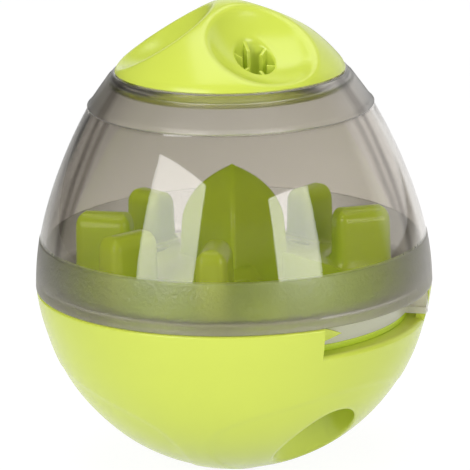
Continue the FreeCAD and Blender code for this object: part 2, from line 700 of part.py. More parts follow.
def make_plug():
    low = plug_z()
    cup = Part.makeCylinder(PLUG_R, PLUG_DEPTH, Vector(0, 0, low), AXIS)
    edges = [e for e in cup.Edges if e.BoundBox.ZMax < low + PLUG_ROUND and e.BoundBox.ZLength < PLAY]
    cup = cup.makeFillet(PLUG_ROUND, edges)
    room = Part.makeCylinder(PLUG_R - PLUG_WALL, TOP, Vector(0, 0, low + PLUG_FLOOR), AXIS)
    for p in cap_screw_places():
        room = room.cut(post(HEAD_HOLE_R + PLUG_FLOOR, p, low, boss_z()))
    cup = cup.cut(room)
    for p in cap_screw_places():
        cup = cup.cut(post(HEAD_HOLE_R, p, low - OVER, boss_z() - PLUG_FLOOR))
        cup = cup.cut(post(PASS_R, p, low - OVER, TOP))
    return cup


def make_cap_screws():
    seat = boss_z() - PLUG_FLOOR
    tip = boss_z() + GRIP
    return [screw(Vector(p.x, p.y, seat), Vector(p.x, p.y, tip), -1.0) for p in cap_screw_places()]


PIECES = {
    "base_shell": make_base,
    "counterweight": make_weight,
    "weight_screws": make_weight_screws,
    "tray": make_tray,
    "tray_screws": make_tray_screws,
    "dome": make_dome,
    "top_cap": make_cap,
    "cap_plug": make_plug,
    "cap_screws": make_cap_screws,
}


def main():
    os.makedirs("parts", exist_ok=True)
    for name, make in PIECES.items():
        made = make()
        shape = Part.Compound(made) if isinstance(made, list) else made
        shape.exportStep(f"parts/{name}.step")
        box = shape.BoundBox
        print(f"{name}: {len(shape.Solids)} solid(s), valid {shape.isValid()}, "
              f"volume {shape.Volume / 1000:.2f} cm3, z {box.ZMin:.2f} to {box.ZMax:.2f}")


main()
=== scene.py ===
"""Wobble treat dispenser: a lime bowl, a smoky dome with a tray in it, and a lift-out cap.

Lengths are millimetres until a mesh is made, which is in metres. The front of the object is -Y,
and an azimuth is in degrees from the front, growing towards +X.
"""

import math

import bmesh
import bpy
import numpy as np
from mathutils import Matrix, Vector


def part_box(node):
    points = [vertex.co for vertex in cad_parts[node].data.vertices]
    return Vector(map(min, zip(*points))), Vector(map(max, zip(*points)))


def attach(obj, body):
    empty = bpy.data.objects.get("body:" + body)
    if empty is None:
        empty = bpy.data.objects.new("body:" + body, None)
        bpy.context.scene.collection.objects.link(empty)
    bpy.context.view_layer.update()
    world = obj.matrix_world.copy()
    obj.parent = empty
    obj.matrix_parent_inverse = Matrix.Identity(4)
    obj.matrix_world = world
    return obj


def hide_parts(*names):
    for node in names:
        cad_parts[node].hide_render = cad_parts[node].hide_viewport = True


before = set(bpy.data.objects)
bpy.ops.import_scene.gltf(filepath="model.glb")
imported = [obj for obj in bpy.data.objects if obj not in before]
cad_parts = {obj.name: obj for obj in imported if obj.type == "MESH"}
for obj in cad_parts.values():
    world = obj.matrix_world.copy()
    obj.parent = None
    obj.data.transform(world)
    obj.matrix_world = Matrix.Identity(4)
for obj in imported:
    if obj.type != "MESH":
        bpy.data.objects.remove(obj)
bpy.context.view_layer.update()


# Base shell: the bowl that the toy rocks on, moulded in glossy lime ABS with a wall of about 2 mm.
# Three scoops in its underside give a paw or a finger a hold, and the treats leave by the notch in
# its rim. A wedge in the notch stops the dome's block, and posts inside carry the weight and tray.

MM = 0.001
MERGE = 0.001  # points closer than this become one
SHARP = 40.0  # edges that turn by more degrees stay crisp
HOLE_RINGS = 14


def box_mm(node):
    """Lowest and highest corners of a CAD node, in millimetres."""
    low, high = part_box(node)
    return np.array(low) / MM, np.array(high) / MM


BALL_R = 57.2
FOOT_R = 10.0
BALL_Z = math.sqrt(BALL_R**2 - FOOT_R**2)
BOWL_WALL = 2.2
RIM_R = 57.8
RIM_Z = box_mm("base_shell")[1][2]
RIM_WALL = 4.1
RIM_IN_R = RIM_R - RIM_WALL
RIM_ROUND = 0.5
BELT_Z = RIM_Z - 12.2
LEDGE_Z = RIM_Z - 8.5
LEDGE_T = 2.2
LEDGE_IN_R = 44.0
EDGE_ROUND = 0.3
NOTCH = (26.0, 78.3)
SILL_ROUND = 1.2
SCOOP_R = 11.7
SCOOP_AT_R = 36.0
SCOOP_AZIMUTHS = (158.0, 278.0, 398.0)
SCOOP_ROOF_Z = 28.35
SCOOP_LIP = 1.3
SCOOP_ROUND = 1.0
SCOOP_BLOCK = (22.0, 27.0)  # degrees of the grid that a scoop's rings take up, up and around
SCOOP_BLOCK_IN = (26.0, 27.0)
SCOOP_BLOCK_UP = 1.5
CREASE = 0.2


def spot(r, azimuth, z):
    """Points at distances r from the axis, on azimuths, at heights z."""
    turn = np.radians(azimuth)
    r, turn, z = np.broadcast_arrays(r, turn, z)
    return np.stack([r * np.sin(turn), -r * np.cos(turn), z], -1).astype(float)


def arc(r, z, radius, start, end, count):
    """Section points (r, z) on a circle, from one angle to another, 0 outwards and 90 up."""
    angle = np.radians(np.linspace(start, end, count))
    return np.stack([r + radius * np.cos(angle), z + radius * np.sin(angle)], -1)


def run(start, end, count):
    """Evenly spaced section points on a straight line, without the last one."""
    return np.linspace(start, end, count, endpoint=False)


def curl(first, corner, last, count):
    """Rows of a quadratic Bezier from first towards corner and on to last, without first."""
    s = np.linspace(0, 1, count + 1)[1:, None, None]
    return (1 - s) ** 2 * first + 2 * s * (1 - s) * corner + s**2 * last


def onward(first, last, count):
    """Rows evenly spaced from first to last, without first."""
    return first + (last - first) * np.linspace(0, 1, count + 1)[1:, None, None]


def ring(middle, angle, size, z=None):
    """Points around an upright axis through middle, in plan or at a height z."""
    flat = middle[:2] + size * np.stack([np.cos(angle), np.sin(angle)], -1)
    return flat if z is None else np.column_stack([flat, np.full(len(flat), z)])


def closed(rows):
    """The rows of points with the first column again at the end."""
    return np.concatenate([rows, rows[:, :1]], axis=1)


def plane(across, azimuth):
    """Flat polar coordinates as points."""
    return spot(across, azimuth, 0.0)[..., :2]


def polar(point):
    """Points of the flat polar coordinates as (across, azimuth)."""
    x, y = point[..., 0], point[..., 1]
    return np.hypot(x, y), np.degrees(np.arctan2(x, -y))


def holed_grid(across, azimuths, surface, holes):
    """Patches of a surface given on polar coordinates, with a round hole in each of some blocks.

    The grid's block around a hole is left out, and its border is joined to the hole's rim by rings
    of quads, spaced evenly on straight lines in the flat polar coordinates. Each hole is
    (across, azimuth, half depth, half width, rim, inside): rim(angle) gives its rim in the flat
    coordinates, and inside(angle) the rows of points that carry on into it.
    """
    keep = np.ones((len(across) - 1, len(azimuths) - 1), bool)
    a, az = np.meshgrid(across, azimuths, indexing="ij")
    patches = [(surface(a, az), keep)]
    rising = across[0] < across[-1]
    order = across if rising else across[::-1]
    for middle, azimuth, deep, wide, rim, inside in holes:
        i0, i1 = np.searchsorted(order, (middle - deep, middle + deep))
        if not rising:
            i0, i1 = len(across) - 1 - i1, len(across) - 1 - i0
        j0, j1 = np.searchsorted(azimuths, (azimuth - wide, azimuth + wide))
        keep[i0:i1, j0:j1] = False
        deep_count, wide_count = i1 - i0, j1 - j0
        i = np.r_[np.full(wide_count, i0), np.arange(i0, i1),
                  np.full(wide_count, i1), np.arange(i1, i0, -1)]
        j = np.r_[np.arange(j0, j1), np.full(deep_count, j1),
                  np.arange(j1, j0, -1), np.full(deep_count, j0)]
        border = plane(across[i], azimuths[j])
        angle = np.linspace(0, 2 * np.pi, 721)
        round_rim = rim(angle)
        centre = round_rim[:-1].mean(axis=0)
        seen = np.unwrap(np.arctan2(*(round_rim - centre).T[::-1]))
        wanted = np.arctan2(*(border - centre).T[::-1])
        if seen[-1] < seen[0]:
            seen, angle = seen[::-1], angle[::-1]
        wanted = seen[0] + np.mod(wanted - seen[0], 2 * np.pi)
        angle = np.interp(wanted, seen, angle)
        share = np.linspace(0, 1, HOLE_RINGS)[:, None, None]
        flat = border + (rim(angle) - border) * share
        rows = np.concatenate([surface(*polar(flat)), inside(angle)])
        patches.append((closed(rows), None))
    return patches


def make_piece(name, patches, materials, body):
    """Joins patches of points in millimetres into one closed mesh in metres.

    A patch is (points, faces to keep or None, material number, 0 if it is left out). Points that
    coincide are merged, which closes seams and poles.
    """
    points, faces, finish, start = [], [], [], 0
    for grid, keep, *slot in patches:
        rows, columns = grid.shape[:2]
        corner = start + np.arange(rows * columns).reshape(rows, columns)
        quads = np.stack([corner[:-1, :-1], corner[:-1, 1:], corner[1:, 1:], corner[1:, :-1]], -1)
        quads = quads.reshape(-1, 4) if keep is None else quads[keep]
        points.append(grid.reshape(-1, 3))
        faces.append(quads)
        finish.append(np.full(len(quads), slot[0] if slot else 0))
        start += rows * columns
    mesh = bpy.data.meshes.new(name)
    mesh.from_pydata(np.concatenate(points) * MM, [], np.concatenate(faces))
    mesh.polygons.foreach_set("material_index", np.concatenate(finish))
    work = bmesh.new()
    work.from_mesh(mesh)
    bmesh.ops.remove_doubles(work, verts=work.verts, dist=MERGE * MM)
    bmesh.ops.delete(work, geom=[v for v in work.verts if not v.link_faces], context="VERTS")
    bmesh.ops.recalc_face_normals(work, faces=work.faces)
    work.to_mesh(mesh)
    work.free()
    mesh.shade_smooth()
    mesh.set_sharp_from_angle(angle=math.radians(SHARP))
    for material in materials:
        mesh.materials.append(material)
    piece = bpy.data.objects.new(name, mesh)
    bpy.context.scene.collection.objects.link(piece)
    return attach(piece, body)


def linear(colour):
    """An sRGB hex colour as linear RGBA."""
    value = np.array([int(colour[i:i + 2], 16) / 255 for i in (1, 3, 5)])
    value = np.where(value <= 0.04045, value / 12.92, ((value + 0.055) / 1.055) ** 2.4)
    return (*value, 1.0)


def feed(tree, node, inputs):
    """Sets or links inputs of a node."""
    for name, value in inputs.items():
        if isinstance(value, bpy.types.NodeSocket):
            tree.links.new(value, node.inputs[name])
        else:
            node.inputs[name].default_value = value


def add_node(tree, kind, inputs=None, **settings):
    """Adds a shader node with its settings, and sets or links its inputs."""
    made = tree.nodes.new("ShaderNode" + kind)
    for name, value in settings.items():
        setattr(made, name, value)
    feed(tree, made, inputs or {})
    return made


def new_material(name):
    """A new material: itself, its node tree, its Principled shader and its Object coordinates."""
    material = bpy.data.materials.new(name)
    material.use_nodes = True
    tree = material.node_tree
    place = add_node(tree, "TexCoord").outputs["Object"]
    return material, tree, tree.nodes["Principled BSDF"], place


def lime_abs(name, darker, paler, finest):
    """Injection-moulded ABS off a polished tool: glossy, with a faint orange-peel waviness.

    The colour drifts a little over 40 mm, and the waves of the peel are 1.6 mm long.
    """
    material, tree, shader, place = new_material(name)
    cloud = add_node(tree, "TexNoise", {"Vector": place, "Scale": 1 / (40.0 * MM)}).outputs["Fac"]
    mixed = add_node(tree, "Mix", {"Factor": cloud, 6: linear(darker), 7: linear(paler)},
                     data_type="RGBA")
    peel = add_node(tree, "TexNoise", {"Vector": place, "Scale": 1 / (1.6 * MM),
                                       "Detail": 1.0}).outputs["Fac"]
    gloss = add_node(tree, "MapRange", {"Value": peel, "To Min": finest, "To Max": finest + 0.06})
    bump = add_node(tree, "Bump", {"Height": peel, "Strength": 0.06, "Distance": 0.1 * MM})
    feed(tree, shader, {"Base Color": mixed.outputs[2], "Roughness": gloss.outputs[0],
                        "Normal": bump.outputs[0], "IOR": 1.53})
    return material


lime = lime_abs("lime_abs", "#cbd950", "#d0de56", 0.2)

PETAL_TURN = 3.0
PETAL_POLAR = 39.5
PETAL_WIDE = 36.0
PETAL_TALL = 25.5
PETAL_DEPTH = 0.25
PETAL_STEP = 1.8


def petal(tilt, azimuth):
    """1 inside the shallow petals pressed around the scoops, 0 outside, with a soft step between.

    A petal is an ellipse in two angles at the ball's centre, sideways and up the bowl.
    """
    tilt, lean, inside = np.radians(tilt), math.radians(PETAL_POLAR), 0.0
    for scoop in SCOOP_AZIMUTHS:
        turn = np.radians(azimuth - scoop - PETAL_TURN)
        side = np.sin(tilt) * np.sin(turn)
        out = np.sin(tilt) * np.cos(turn)
        ahead = out * math.sin(lean) + np.cos(tilt) * math.cos(lean)
        rise = out * math.cos(lean) - np.cos(tilt) * math.sin(lean)
        reach = np.hypot(np.degrees(np.arctan2(side, ahead)) / PETAL_WIDE,
                         np.degrees(np.arctan2(rise, ahead)) / PETAL_TALL)
        within = (1 - reach) * math.radians(PETAL_TALL) * BALL_R
        step = np.clip(within / PETAL_STEP + 0.5, 0, 1)
        inside = np.maximum(inside, step * step * (3 - 2 * step))
    return inside


def ball_point(tilt, azimuth, inset=0.0):
    """Points of the ball, tilt degrees from straight down at its centre, with the petals."""
    radius = BALL_R - (inset or PETAL_DEPTH * petal(tilt, azimuth))
    angle = np.radians(tilt)
    return spot(radius * np.sin(angle), azimuth, BALL_Z - radius * np.cos(angle))


def scoop_hole(azimuth, grow, span):
    """One scoop for holed_grid: a round well with a softly rounded lip and a flat roof.

    Grown by the bowl's wall, it is the well's other side. span is half the block's size.
    """
    radius, roof, ball = SCOOP_R + grow, SCOOP_ROOF_Z + grow, BALL_R - grow
    lip = SCOOP_LIP / 2 if grow else SCOOP_LIP
    middle = spot(SCOOP_AT_R, azimuth, 0.0)

    def rim(angle, size=radius + lip):
        r, turn = polar(ring(middle, angle, size))
        return plane(np.degrees(np.arcsin(r / ball)), turn)

    def inside(angle):
        first = ball_point(*polar(rim(angle)), inset=grow)
        corner = ball_point(*polar(rim(angle, radius)), inset=grow)
        up = np.minimum(lip, (roof - corner[:, 2]) / 3)
        last = corner + np.stack([0 * up, 0 * up, up], -1)
        bend = arc(radius - SCOOP_ROUND, roof - SCOOP_ROUND, SCOOP_ROUND, 0, 90, 5)
        bend = [ring(middle, angle, *at) for at in bend]
        flat = [ring(middle, angle, size, roof) for size in (radius * 0.6, radius * 0.25, 0.0)]
        return np.concatenate([curl(first, corner, last, 5), onward(last, bend[0], 5),
                               bend[1:], flat])

    tilt = math.degrees(math.asin(SCOOP_AT_R / ball))
    return tilt + SCOOP_BLOCK_UP, azimuth, *span, rim, inside


def belt_r(z):
    """Outside of the bowl above the ball: a bow of the ball's radius that ends at the rim."""
    low = np.array([math.sqrt(BALL_R**2 - (BELT_Z - BALL_Z) ** 2), BELT_Z])
    high = np.array([RIM_R, RIM_Z])
    half = (high - low) / 2
    reach = math.sqrt(BALL_R**2 - half @ half) / math.hypot(*half)
    centre = (low + high) / 2 + np.array([-half[1], half[0]]) * reach
    return centre[0] + np.sqrt(BALL_R**2 - (z - centre[1]) ** 2)


def rim_sections():
    """Sections of the rim's wall, whole and cut down to the notch's floor, point for point."""
    top_z = np.linspace(BELT_Z, RIM_Z - RIM_ROUND, 16)
    whole = [np.stack([belt_r(top_z), top_z], -1)[:-1],
             arc(belt_r(RIM_Z - RIM_ROUND) - RIM_ROUND, RIM_Z - RIM_ROUND, RIM_ROUND, 0, 90, 6),
             run((RIM_R - 1.5, RIM_Z), (RIM_IN_R + EDGE_ROUND, RIM_Z), 3),
             arc(RIM_IN_R + EDGE_ROUND, RIM_Z - EDGE_ROUND, EDGE_ROUND, 90, 180, 4),
             run((RIM_IN_R, RIM_Z - 1.0), (RIM_IN_R, LEDGE_Z + EDGE_ROUND), 8),
             arc(RIM_IN_R - EDGE_ROUND, LEDGE_Z + EDGE_ROUND, EDGE_ROUND, 0, -90, 4)]
    sill_z = np.linspace(BELT_Z, LEDGE_Z - SILL_ROUND, 16)
    sill_r = belt_r(LEDGE_Z - SILL_ROUND) - SILL_ROUND
    notched = [np.stack([belt_r(sill_z), sill_z], -1)[:-1],
               arc(sill_r, LEDGE_Z - SILL_ROUND, SILL_ROUND, 0, 90, 6),
               run((sill_r - 0.3, LEDGE_Z), (RIM_IN_R + 0.6, LEDGE_Z), 3),
               run((RIM_IN_R + 0.6, LEDGE_Z), (RIM_IN_R + 0.3, LEDGE_Z), 4),
               run((RIM_IN_R + 0.3, LEDGE_Z), (RIM_IN_R - 0.3, LEDGE_Z), 8),
               run((RIM_IN_R - 0.3, LEDGE_Z), (RIM_IN_R - 0.6, LEDGE_Z), 4)]
    return np.concatenate(whole), np.concatenate(notched)


def bowl_patches():
    """The bowl's outside, rim, ledge and inside, as one closed skin.

    Columns close to the notch's two ends keep the creases there crisp.
    """
    notch_from, notch_to = NOTCH
    full = np.r_[notch_to, notch_to + CREASE, np.linspace(notch_to + 1, notch_from + 359, 306),
                 notch_from + 360 - CREASE, notch_from + 360]
    cut = np.r_[notch_from, notch_from + CREASE, np.linspace(notch_from + 1, notch_to - 1, 51),
                notch_to - CREASE, notch_to] + 360
    turns = np.r_[full, cut, full[:1] + 360]
    is_cut = np.r_[np.zeros(len(full)), np.ones(len(cut)), 0]
    foot = math.degrees(math.asin(FOOT_R / BALL_R))
    belt = math.degrees(math.acos((BALL_Z - BELT_Z) / BALL_R))
    outside = holed_grid(np.linspace(foot, belt, 66), turns, ball_point,
                         [scoop_hole(a, 0.0, SCOOP_BLOCK) for a in SCOOP_AZIMUTHS])
    pole = spot(np.array([[0.0], [FOOT_R]]), turns, 0.0)
    whole, notched = rim_sections()
    section = whole[:, None] * (1 - is_cut[:, None]) + notched[:, None] * is_cut[:, None]
    under_z = LEDGE_Z - LEDGE_T
    inner_r = BALL_R - BOWL_WALL
    ledge = np.array([(LEDGE_IN_R + EDGE_ROUND, LEDGE_Z), (LEDGE_IN_R, LEDGE_Z - EDGE_ROUND),
                      (LEDGE_IN_R, under_z + EDGE_ROUND), (LEDGE_IN_R + EDGE_ROUND, under_z),
                      (math.sqrt(inner_r**2 - (BALL_Z - under_z) ** 2), under_z)])
    ledge = np.broadcast_to(ledge[:, None], (5, len(turns), 2))
    section = np.concatenate([section, ledge])
    rim = spot(section[..., 0], turns, section[..., 1])
    start = math.degrees(math.acos((BALL_Z - under_z) / inner_r))
    inside = holed_grid(np.linspace(start, 0, 60), turns,
                        lambda tilt, azimuth: ball_point(tilt, azimuth, inset=BOWL_WALL),
                        [scoop_hole(a, BOWL_WALL, SCOOP_BLOCK_IN) for a in SCOOP_AZIMUTHS])
    return outside + [(pole, None), (rim, None)] + inside


def block(corners, low, high, soft, place):
    """Closed patch of a polygon carried from low to high, with edges rounded by soft.

    corners are the polygon, place(u, v, w) puts its points in space, and w runs from low to high.
    """
    corners = np.array(corners, float)
    following = np.roll(corners, -1, axis=0)
    centre = corners.mean(axis=0)
    share = np.array([0.0, 0.06, 0.35, 0.65, 0.94])[:, None, None]
    outline = np.swapaxes(corners + (following - corners) * share, 0, 1).reshape(-1, 2)
    reach = np.abs(outline - centre).max()
    levels = [(0.0, low), (1 - soft / reach, low), (1 - 0.3 * soft / reach, low + 0.3 * soft),
              (1.0, low + soft), (1.0, high - soft), (1 - 0.3 * soft / reach, high - 0.3 * soft),
              (1 - soft / reach, high), (0.0, high)]
    rows = [place(*(centre + (outline - centre) * size).T, w) for size, w in levels]
    return closed(np.array(rows)), None


def around(u, v, w):
    """For block: azimuths u, heights v and distances w from the axis."""
    return spot(w, u, v)


def post(at_r, azimuth, high):
    """Closed patch of an upright round post, whose foot follows a ball inside the bowl's wall."""
    turn = np.linspace(0, 360, 33)
    rows = np.array([spot(r, turn, high) for r in (0, POST_R, POST_R, 0)])
    rows = rows + spot(at_r, azimuth, 0.0)
    foot = rows[:2]
    drop = np.sqrt((BALL_R - BOWL_WALL / 2) ** 2 - (foot[..., :2] ** 2).sum(axis=-1))
    foot[..., 2] = BALL_Z - drop
    return rows, None


WEDGE_TOP_Z = RIM_Z - 0.15
WEDGE_H = 4.8
WEDGE_FROM = 14.0
WEDGE_TIP = (34.0, WEDGE_TOP_Z - 0.6 * WEDGE_H)
WEDGE_R = (51.6, 54.0)
WEIGHT_POSTS = (0.0, 120.0, 240.0)
WEIGHT_POST_AT_R = 12.0
TRAY_POSTS = (126.0, 246.0, 366.0)
TRAY_POST_AT_R = 24.0
TRAY_SCREW_BITE = 5.0
POST_R = 3.6

wedge = block([(WEDGE_FROM, WEDGE_TOP_Z - WEDGE_H), (NOTCH[0], WEDGE_TOP_Z - WEDGE_H), WEDGE_TIP,
               (NOTCH[0], WEDGE_TOP_Z), (WEDGE_FROM, WEDGE_TOP_Z)], *WEDGE_R, 0.15, around)
posts = [post(WEIGHT_POST_AT_R, a, box_mm("counterweight")[0][2]) for a in WEIGHT_POSTS]
posts += [post(TRAY_POST_AT_R, a, box_mm("tray_screws")[0][2] + TRAY_SCREW_BITE)
          for a in TRAY_POSTS]
base = make_piece("lime_bowl", bowl_patches() + [wedge] + posts, [lime], "base")
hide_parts("base_shell")


# Counterweight and screws: a turned iron disc on three posts low in the bowl, which makes the toy
# stand up again. Zinc-plated pan-head screws with a cross recess hold it, the tray and the cap.

LATHE_RING = 7.54
WAVE_STEEPNESS = 20.0


def turned_iron():
    """Cast iron turned on a lathe and oiled: dark grey, with rings from the tool around the axis.

    The rings are drawn far coarser than the tool's feed, so that they show. The node's wave turns
    by WAVE_STEEPNESS radians over one unit at scale 1.
    """
    material, tree, shader, place = new_material("turned_iron")
    speck = add_node(tree, "TexNoise", {"Vector": place, "Scale": 1 / (2.5 * MM),
                                        "Detail": 4.0}).outputs["Fac"]
    mixed = add_node(tree, "Mix", {"Factor": speck, 6: linear("#4a4a4c"), 7: linear("#6a6968")},
                     data_type="RGBA")
    wave_scale = 2 * math.pi / WAVE_STEEPNESS / (LATHE_RING * MM)
    rings = add_node(tree, "TexWave", {"Vector": place, "Scale": wave_scale, "Distortion": 0.4},
                     wave_type="RINGS", rings_direction="Z")
    bump = add_node(tree, "Bump", {"Height": rings.outputs["Fac"], "Strength": 0.2,
                                   "Distance": 0.05 * MM})
    feed(tree, shader, {"Base Color": mixed.outputs[2], "Normal": bump.outputs[0],
                        "Metallic": 1.0, "Roughness": 0.42})
    return material


def zinc_steel():
    """Steel with bright zinc plating: pale, faintly blue, and unevenly glossy at half a mm."""
    material, tree, shader, place = new_material("zinc_steel")
    cloud = add_node(tree, "TexNoise", {"Vector": place, "Scale": 1 / (0.5 * MM),
                                        "Detail": 3.0}).outputs["Fac"]
    mixed = add_node(tree, "Mix", {"Factor": cloud, 6: linear("#b4b8bd"), 7: linear("#c9ccd0")},
                     data_type="RGBA")
    gloss = add_node(tree, "MapRange", {"Value": cloud, "To Min": 0.25, "To Max": 0.4})
    feed(tree, shader, {"Base Color": mixed.outputs[2], "Roughness": gloss.outputs[0],
                        "Metallic": 1.0})
    return material


def finish_node(name, material):
    """Gives a carried-over CAD node its material."""
    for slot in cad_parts[name].material_slots:
        slot.material = material


iron = turned_iron()
zinc = zinc_steel()
finish_node("counterweight", iron)
for name in ("weight_screws", "tray_screws", "cap_screws"):
    finish_node(name, zinc)


# Tray: one lime ABS moulding that lies on the bowl's ledge. A four-sided peak and six blunt pegs
# stir the treats, a chute at the front right leads them out, and three screws sit in deep cups.

TRAY_R = 48.9
TRAY_WALL = 1.8
FLANGE_R = box_mm("tray")[1][0]
FLANGE_Z = LEDGE_Z + 2.0
DECK_EDGE_Z = FLANGE_Z + 2.8
DECK_TOP_Z = DECK_EDGE_Z + 12.0
PEAK_HALF = 11.5
PEAK_FOOT_R = PEAK_HALF * math.sqrt(2)
PEAK_SHOULDER = (10.9, 11.0)
PEAK_BEND = (7.65, 20.5)
PEAK_H = box_mm("tray")[1][2] - DECK_TOP_Z
RIDGE_ROUND = 1.3
CHUTE = (22.0, 82.0)
CHUTE_FALL = 7.6
CHUTE_SIDE = 2.0
CUP_R = 3.0
CUP_DEPTH = 9.0
CUP_ROUND = 0.5
CUP_BLOCK = (6.5, 16.0)
CUP_BLOCK_BELOW = (6.5, 14.0)
TRAY_COLUMNS = (151, 31)
DECK_LEAN = math.radians(4.1)
DECK_FALL = math.tan(math.atan2(DECK_TOP_Z - DECK_EDGE_Z, TRAY_R - PEAK_FOOT_R) - DECK_LEAN)
DECK_ROUND = 0.6
PEG_HALF = 4.85
PEG_DRAFT = 0.45
PEG_H = 25.6
PEG_TOP_Z = DECK_EDGE_Z + PEG_H
PEG_ROUND = 3.0
PEG_CROWN = 4.2
PEG_FOOT = 1.2
PEG_SINK = 0.3
PEG_PLACES = (  # azimuth, turn, distance from the axis, half depth
    (-8.0, -8.0, 39.5, 8.4),
    (-51.0, -48.0, 38.5, 8.4),
    (-92.0, -104.0, 37.4, 8.4),
    (-137.0, -137.0, 36.0, 7.1),
    (140.0, 140.0, 36.0, 7.1),
    (93.0, 106.0, 37.4, 8.4),
)

tray_lime = lime_abs("tray_lime_abs", "#c6de40", "#cbe246", 0.16)


def deck_z(x, y):
    """Height of the deck: a flat-topped shallow cone, leaned to the front about the peak's corner.

    The cone's own height at a point depends on where the lean has moved it from, so each pass
    turns the point back by the lean, takes the cone there, and turns the result again.
    """
    ahead, rise = y + PEAK_FOOT_R, 0.0
    for _ in range(5):
        along = ahead * math.cos(DECK_LEAN) + rise * math.sin(DECK_LEAN)
        drop = DECK_FALL * np.maximum(np.hypot(x, along - PEAK_FOOT_R) - PEAK_FOOT_R, 0)
        rise = along * math.sin(DECK_LEAN) - drop * math.cos(DECK_LEAN)
    return DECK_TOP_Z + rise


def chute_z(r):
    """Height of the chute's floor, a cone that ends flush with the flange."""
    return FLANGE_Z + CHUTE_FALL * np.maximum(TRAY_R - r, 0) / (TRAY_R - PEAK_HALF)


def cup_hole(azimuth, wall, span):
    """One screw cup for holed_grid: a round well in the deck, or the outside of its wall below."""
    middle = spot(TRAY_POST_AT_R, azimuth, 0.0)
    radius = CUP_R + wall
    floor_z = deck_z(0.0, -TRAY_POST_AT_R) - CUP_DEPTH - wall
    soft = EDGE_ROUND if wall else CUP_ROUND

    def rim(angle):
        return ring(middle, angle, radius + soft)

    def on_deck(angle, size):
        flat = ring(middle, angle, size)
        return np.column_stack([flat, deck_z(*flat.T) - wall])

    def inside(angle):
        corner = on_deck(angle, radius)
        last = corner - np.array([0, 0, soft])
        sides = [ring(middle, angle, radius, z) for z in (floor_z + 3, floor_z + soft)]
        flat = [ring(middle, angle, size, floor_z) for size in (radius - soft, radius / 2, 0.0)]
        return np.concatenate([curl(on_deck(angle, radius + soft), corner, last, 3), sides, flat])

    return TRAY_POST_AT_R, azimuth, *span, rim, inside


def chute_columns(side):
    """Azimuths of the tray's columns, two at each side of the chute, which side makes wider."""
    start, end = CHUTE[0] - side, CHUTE[1] + side
    return np.r_[np.linspace(end, start + 360, TRAY_COLUMNS[0]),
                 np.linspace(start + 360, end + 360, TRAY_COLUMNS[1]), end + 360]


def deck_patches():
    """Deck, flange and underside of the tray as one closed skin, with the chute sunk into it."""
    turns, low_turns = chute_columns(0.0), chute_columns(CHUTE_SIDE)
    in_chute = np.repeat([False, True, False], (*TRAY_COLUMNS, 1))

    def sunk(r, z):
        """Whole rows dip in the chute's columns. Rings around the cups stay out of it."""
        if z.shape[-1] != len(in_chute):
            return z
        return np.where(in_chute, np.minimum(z, chute_z(r)), z)

    def skin(r, azimuth, wall=0.0):
        point = spot(r, azimuth, 0.0)
        point[..., 2] = sunk(r, deck_z(point[..., 0], point[..., 1])) - wall
        return point

    r = np.r_[0.0, np.linspace(4.0, PEAK_FOOT_R, 10),
              np.linspace(PEAK_FOOT_R + 1, TRAY_R - DECK_ROUND, 34)]
    above = holed_grid(r, turns, skin, [cup_hole(a, 0.0, CUP_BLOCK) for a in TRAY_POSTS])
    below = holed_grid(np.r_[r[:-1], TRAY_R - TRAY_WALL][::-1], low_turns,
                       lambda r, azimuth: skin(r, azimuth, TRAY_WALL),
                       [cup_hole(a, TRAY_WALL, CUP_BLOCK_BELOW) for a in TRAY_POSTS])
    lip = skin(np.full(turns.shape, TRAY_R), turns)[:, 2]
    bend = arc(TRAY_R - DECK_ROUND, -DECK_ROUND, DECK_ROUND, 70, 0, 4)
    flange = np.concatenate([
        run((TRAY_R, FLANGE_Z), (FLANGE_R - EDGE_ROUND, FLANGE_Z), 2),
        arc(FLANGE_R - EDGE_ROUND, FLANGE_Z - EDGE_ROUND, EDGE_ROUND, 90, 0, 4),
        arc(FLANGE_R - EDGE_ROUND, LEDGE_Z + EDGE_ROUND, EDGE_ROUND, 0, -90, 4),
        [(LEDGE_IN_R, LEDGE_Z)]])
    rows = [above[0][0][-1]]
    rows += [spot(r, turns, np.maximum(lip + z, FLANGE_Z)) for r, z in bend]
    rows += [spot(TRAY_R, turns, FLANGE_Z + (lip - DECK_ROUND - FLANGE_Z).clip(0) * share)
             for share in (0.6, 0.2)]
    rows += [spot(r, turns, z) for r, z in flange]
    for r in (LEDGE_IN_R, TRAY_R - TRAY_WALL):
        under_chute = min(FLANGE_Z, chute_z(r) - TRAY_WALL)
        rows.append(spot(r, low_turns, np.where(in_chute, under_chute, FLANGE_Z)))
    rows += [below[0][0][0]]
    return above + [(np.array(rows), None)] + below


def soft_square(half_u, half_v, corner):
    """Outline of a rectangle with round corners: each corner's bend, then the side after it."""
    bend = np.radians(np.linspace(0, 90, 7))
    parts = []
    for quarter, (u, v) in enumerate(((1, 1), (-1, 1), (-1, -1), (1, -1))):
        turn = bend + math.radians(90 * quarter)
        middle = np.array([u * (half_u - corner), v * (half_v - corner)])
        parts.append(middle + corner * np.stack([np.cos(turn), np.sin(turn)], -1))
    following = np.roll([part[0] for part in parts], -1, axis=0)
    return np.concatenate([np.concatenate([part, run(part[-1], after, 4)[1:]])
                           for part, after in zip(parts, following)])


def turned(flat, degrees):
    """Flat points turned about the origin."""
    c, s = math.cos(math.radians(degrees)), math.sin(math.radians(degrees))
    return flat @ np.array([[c, s], [-s, c]])


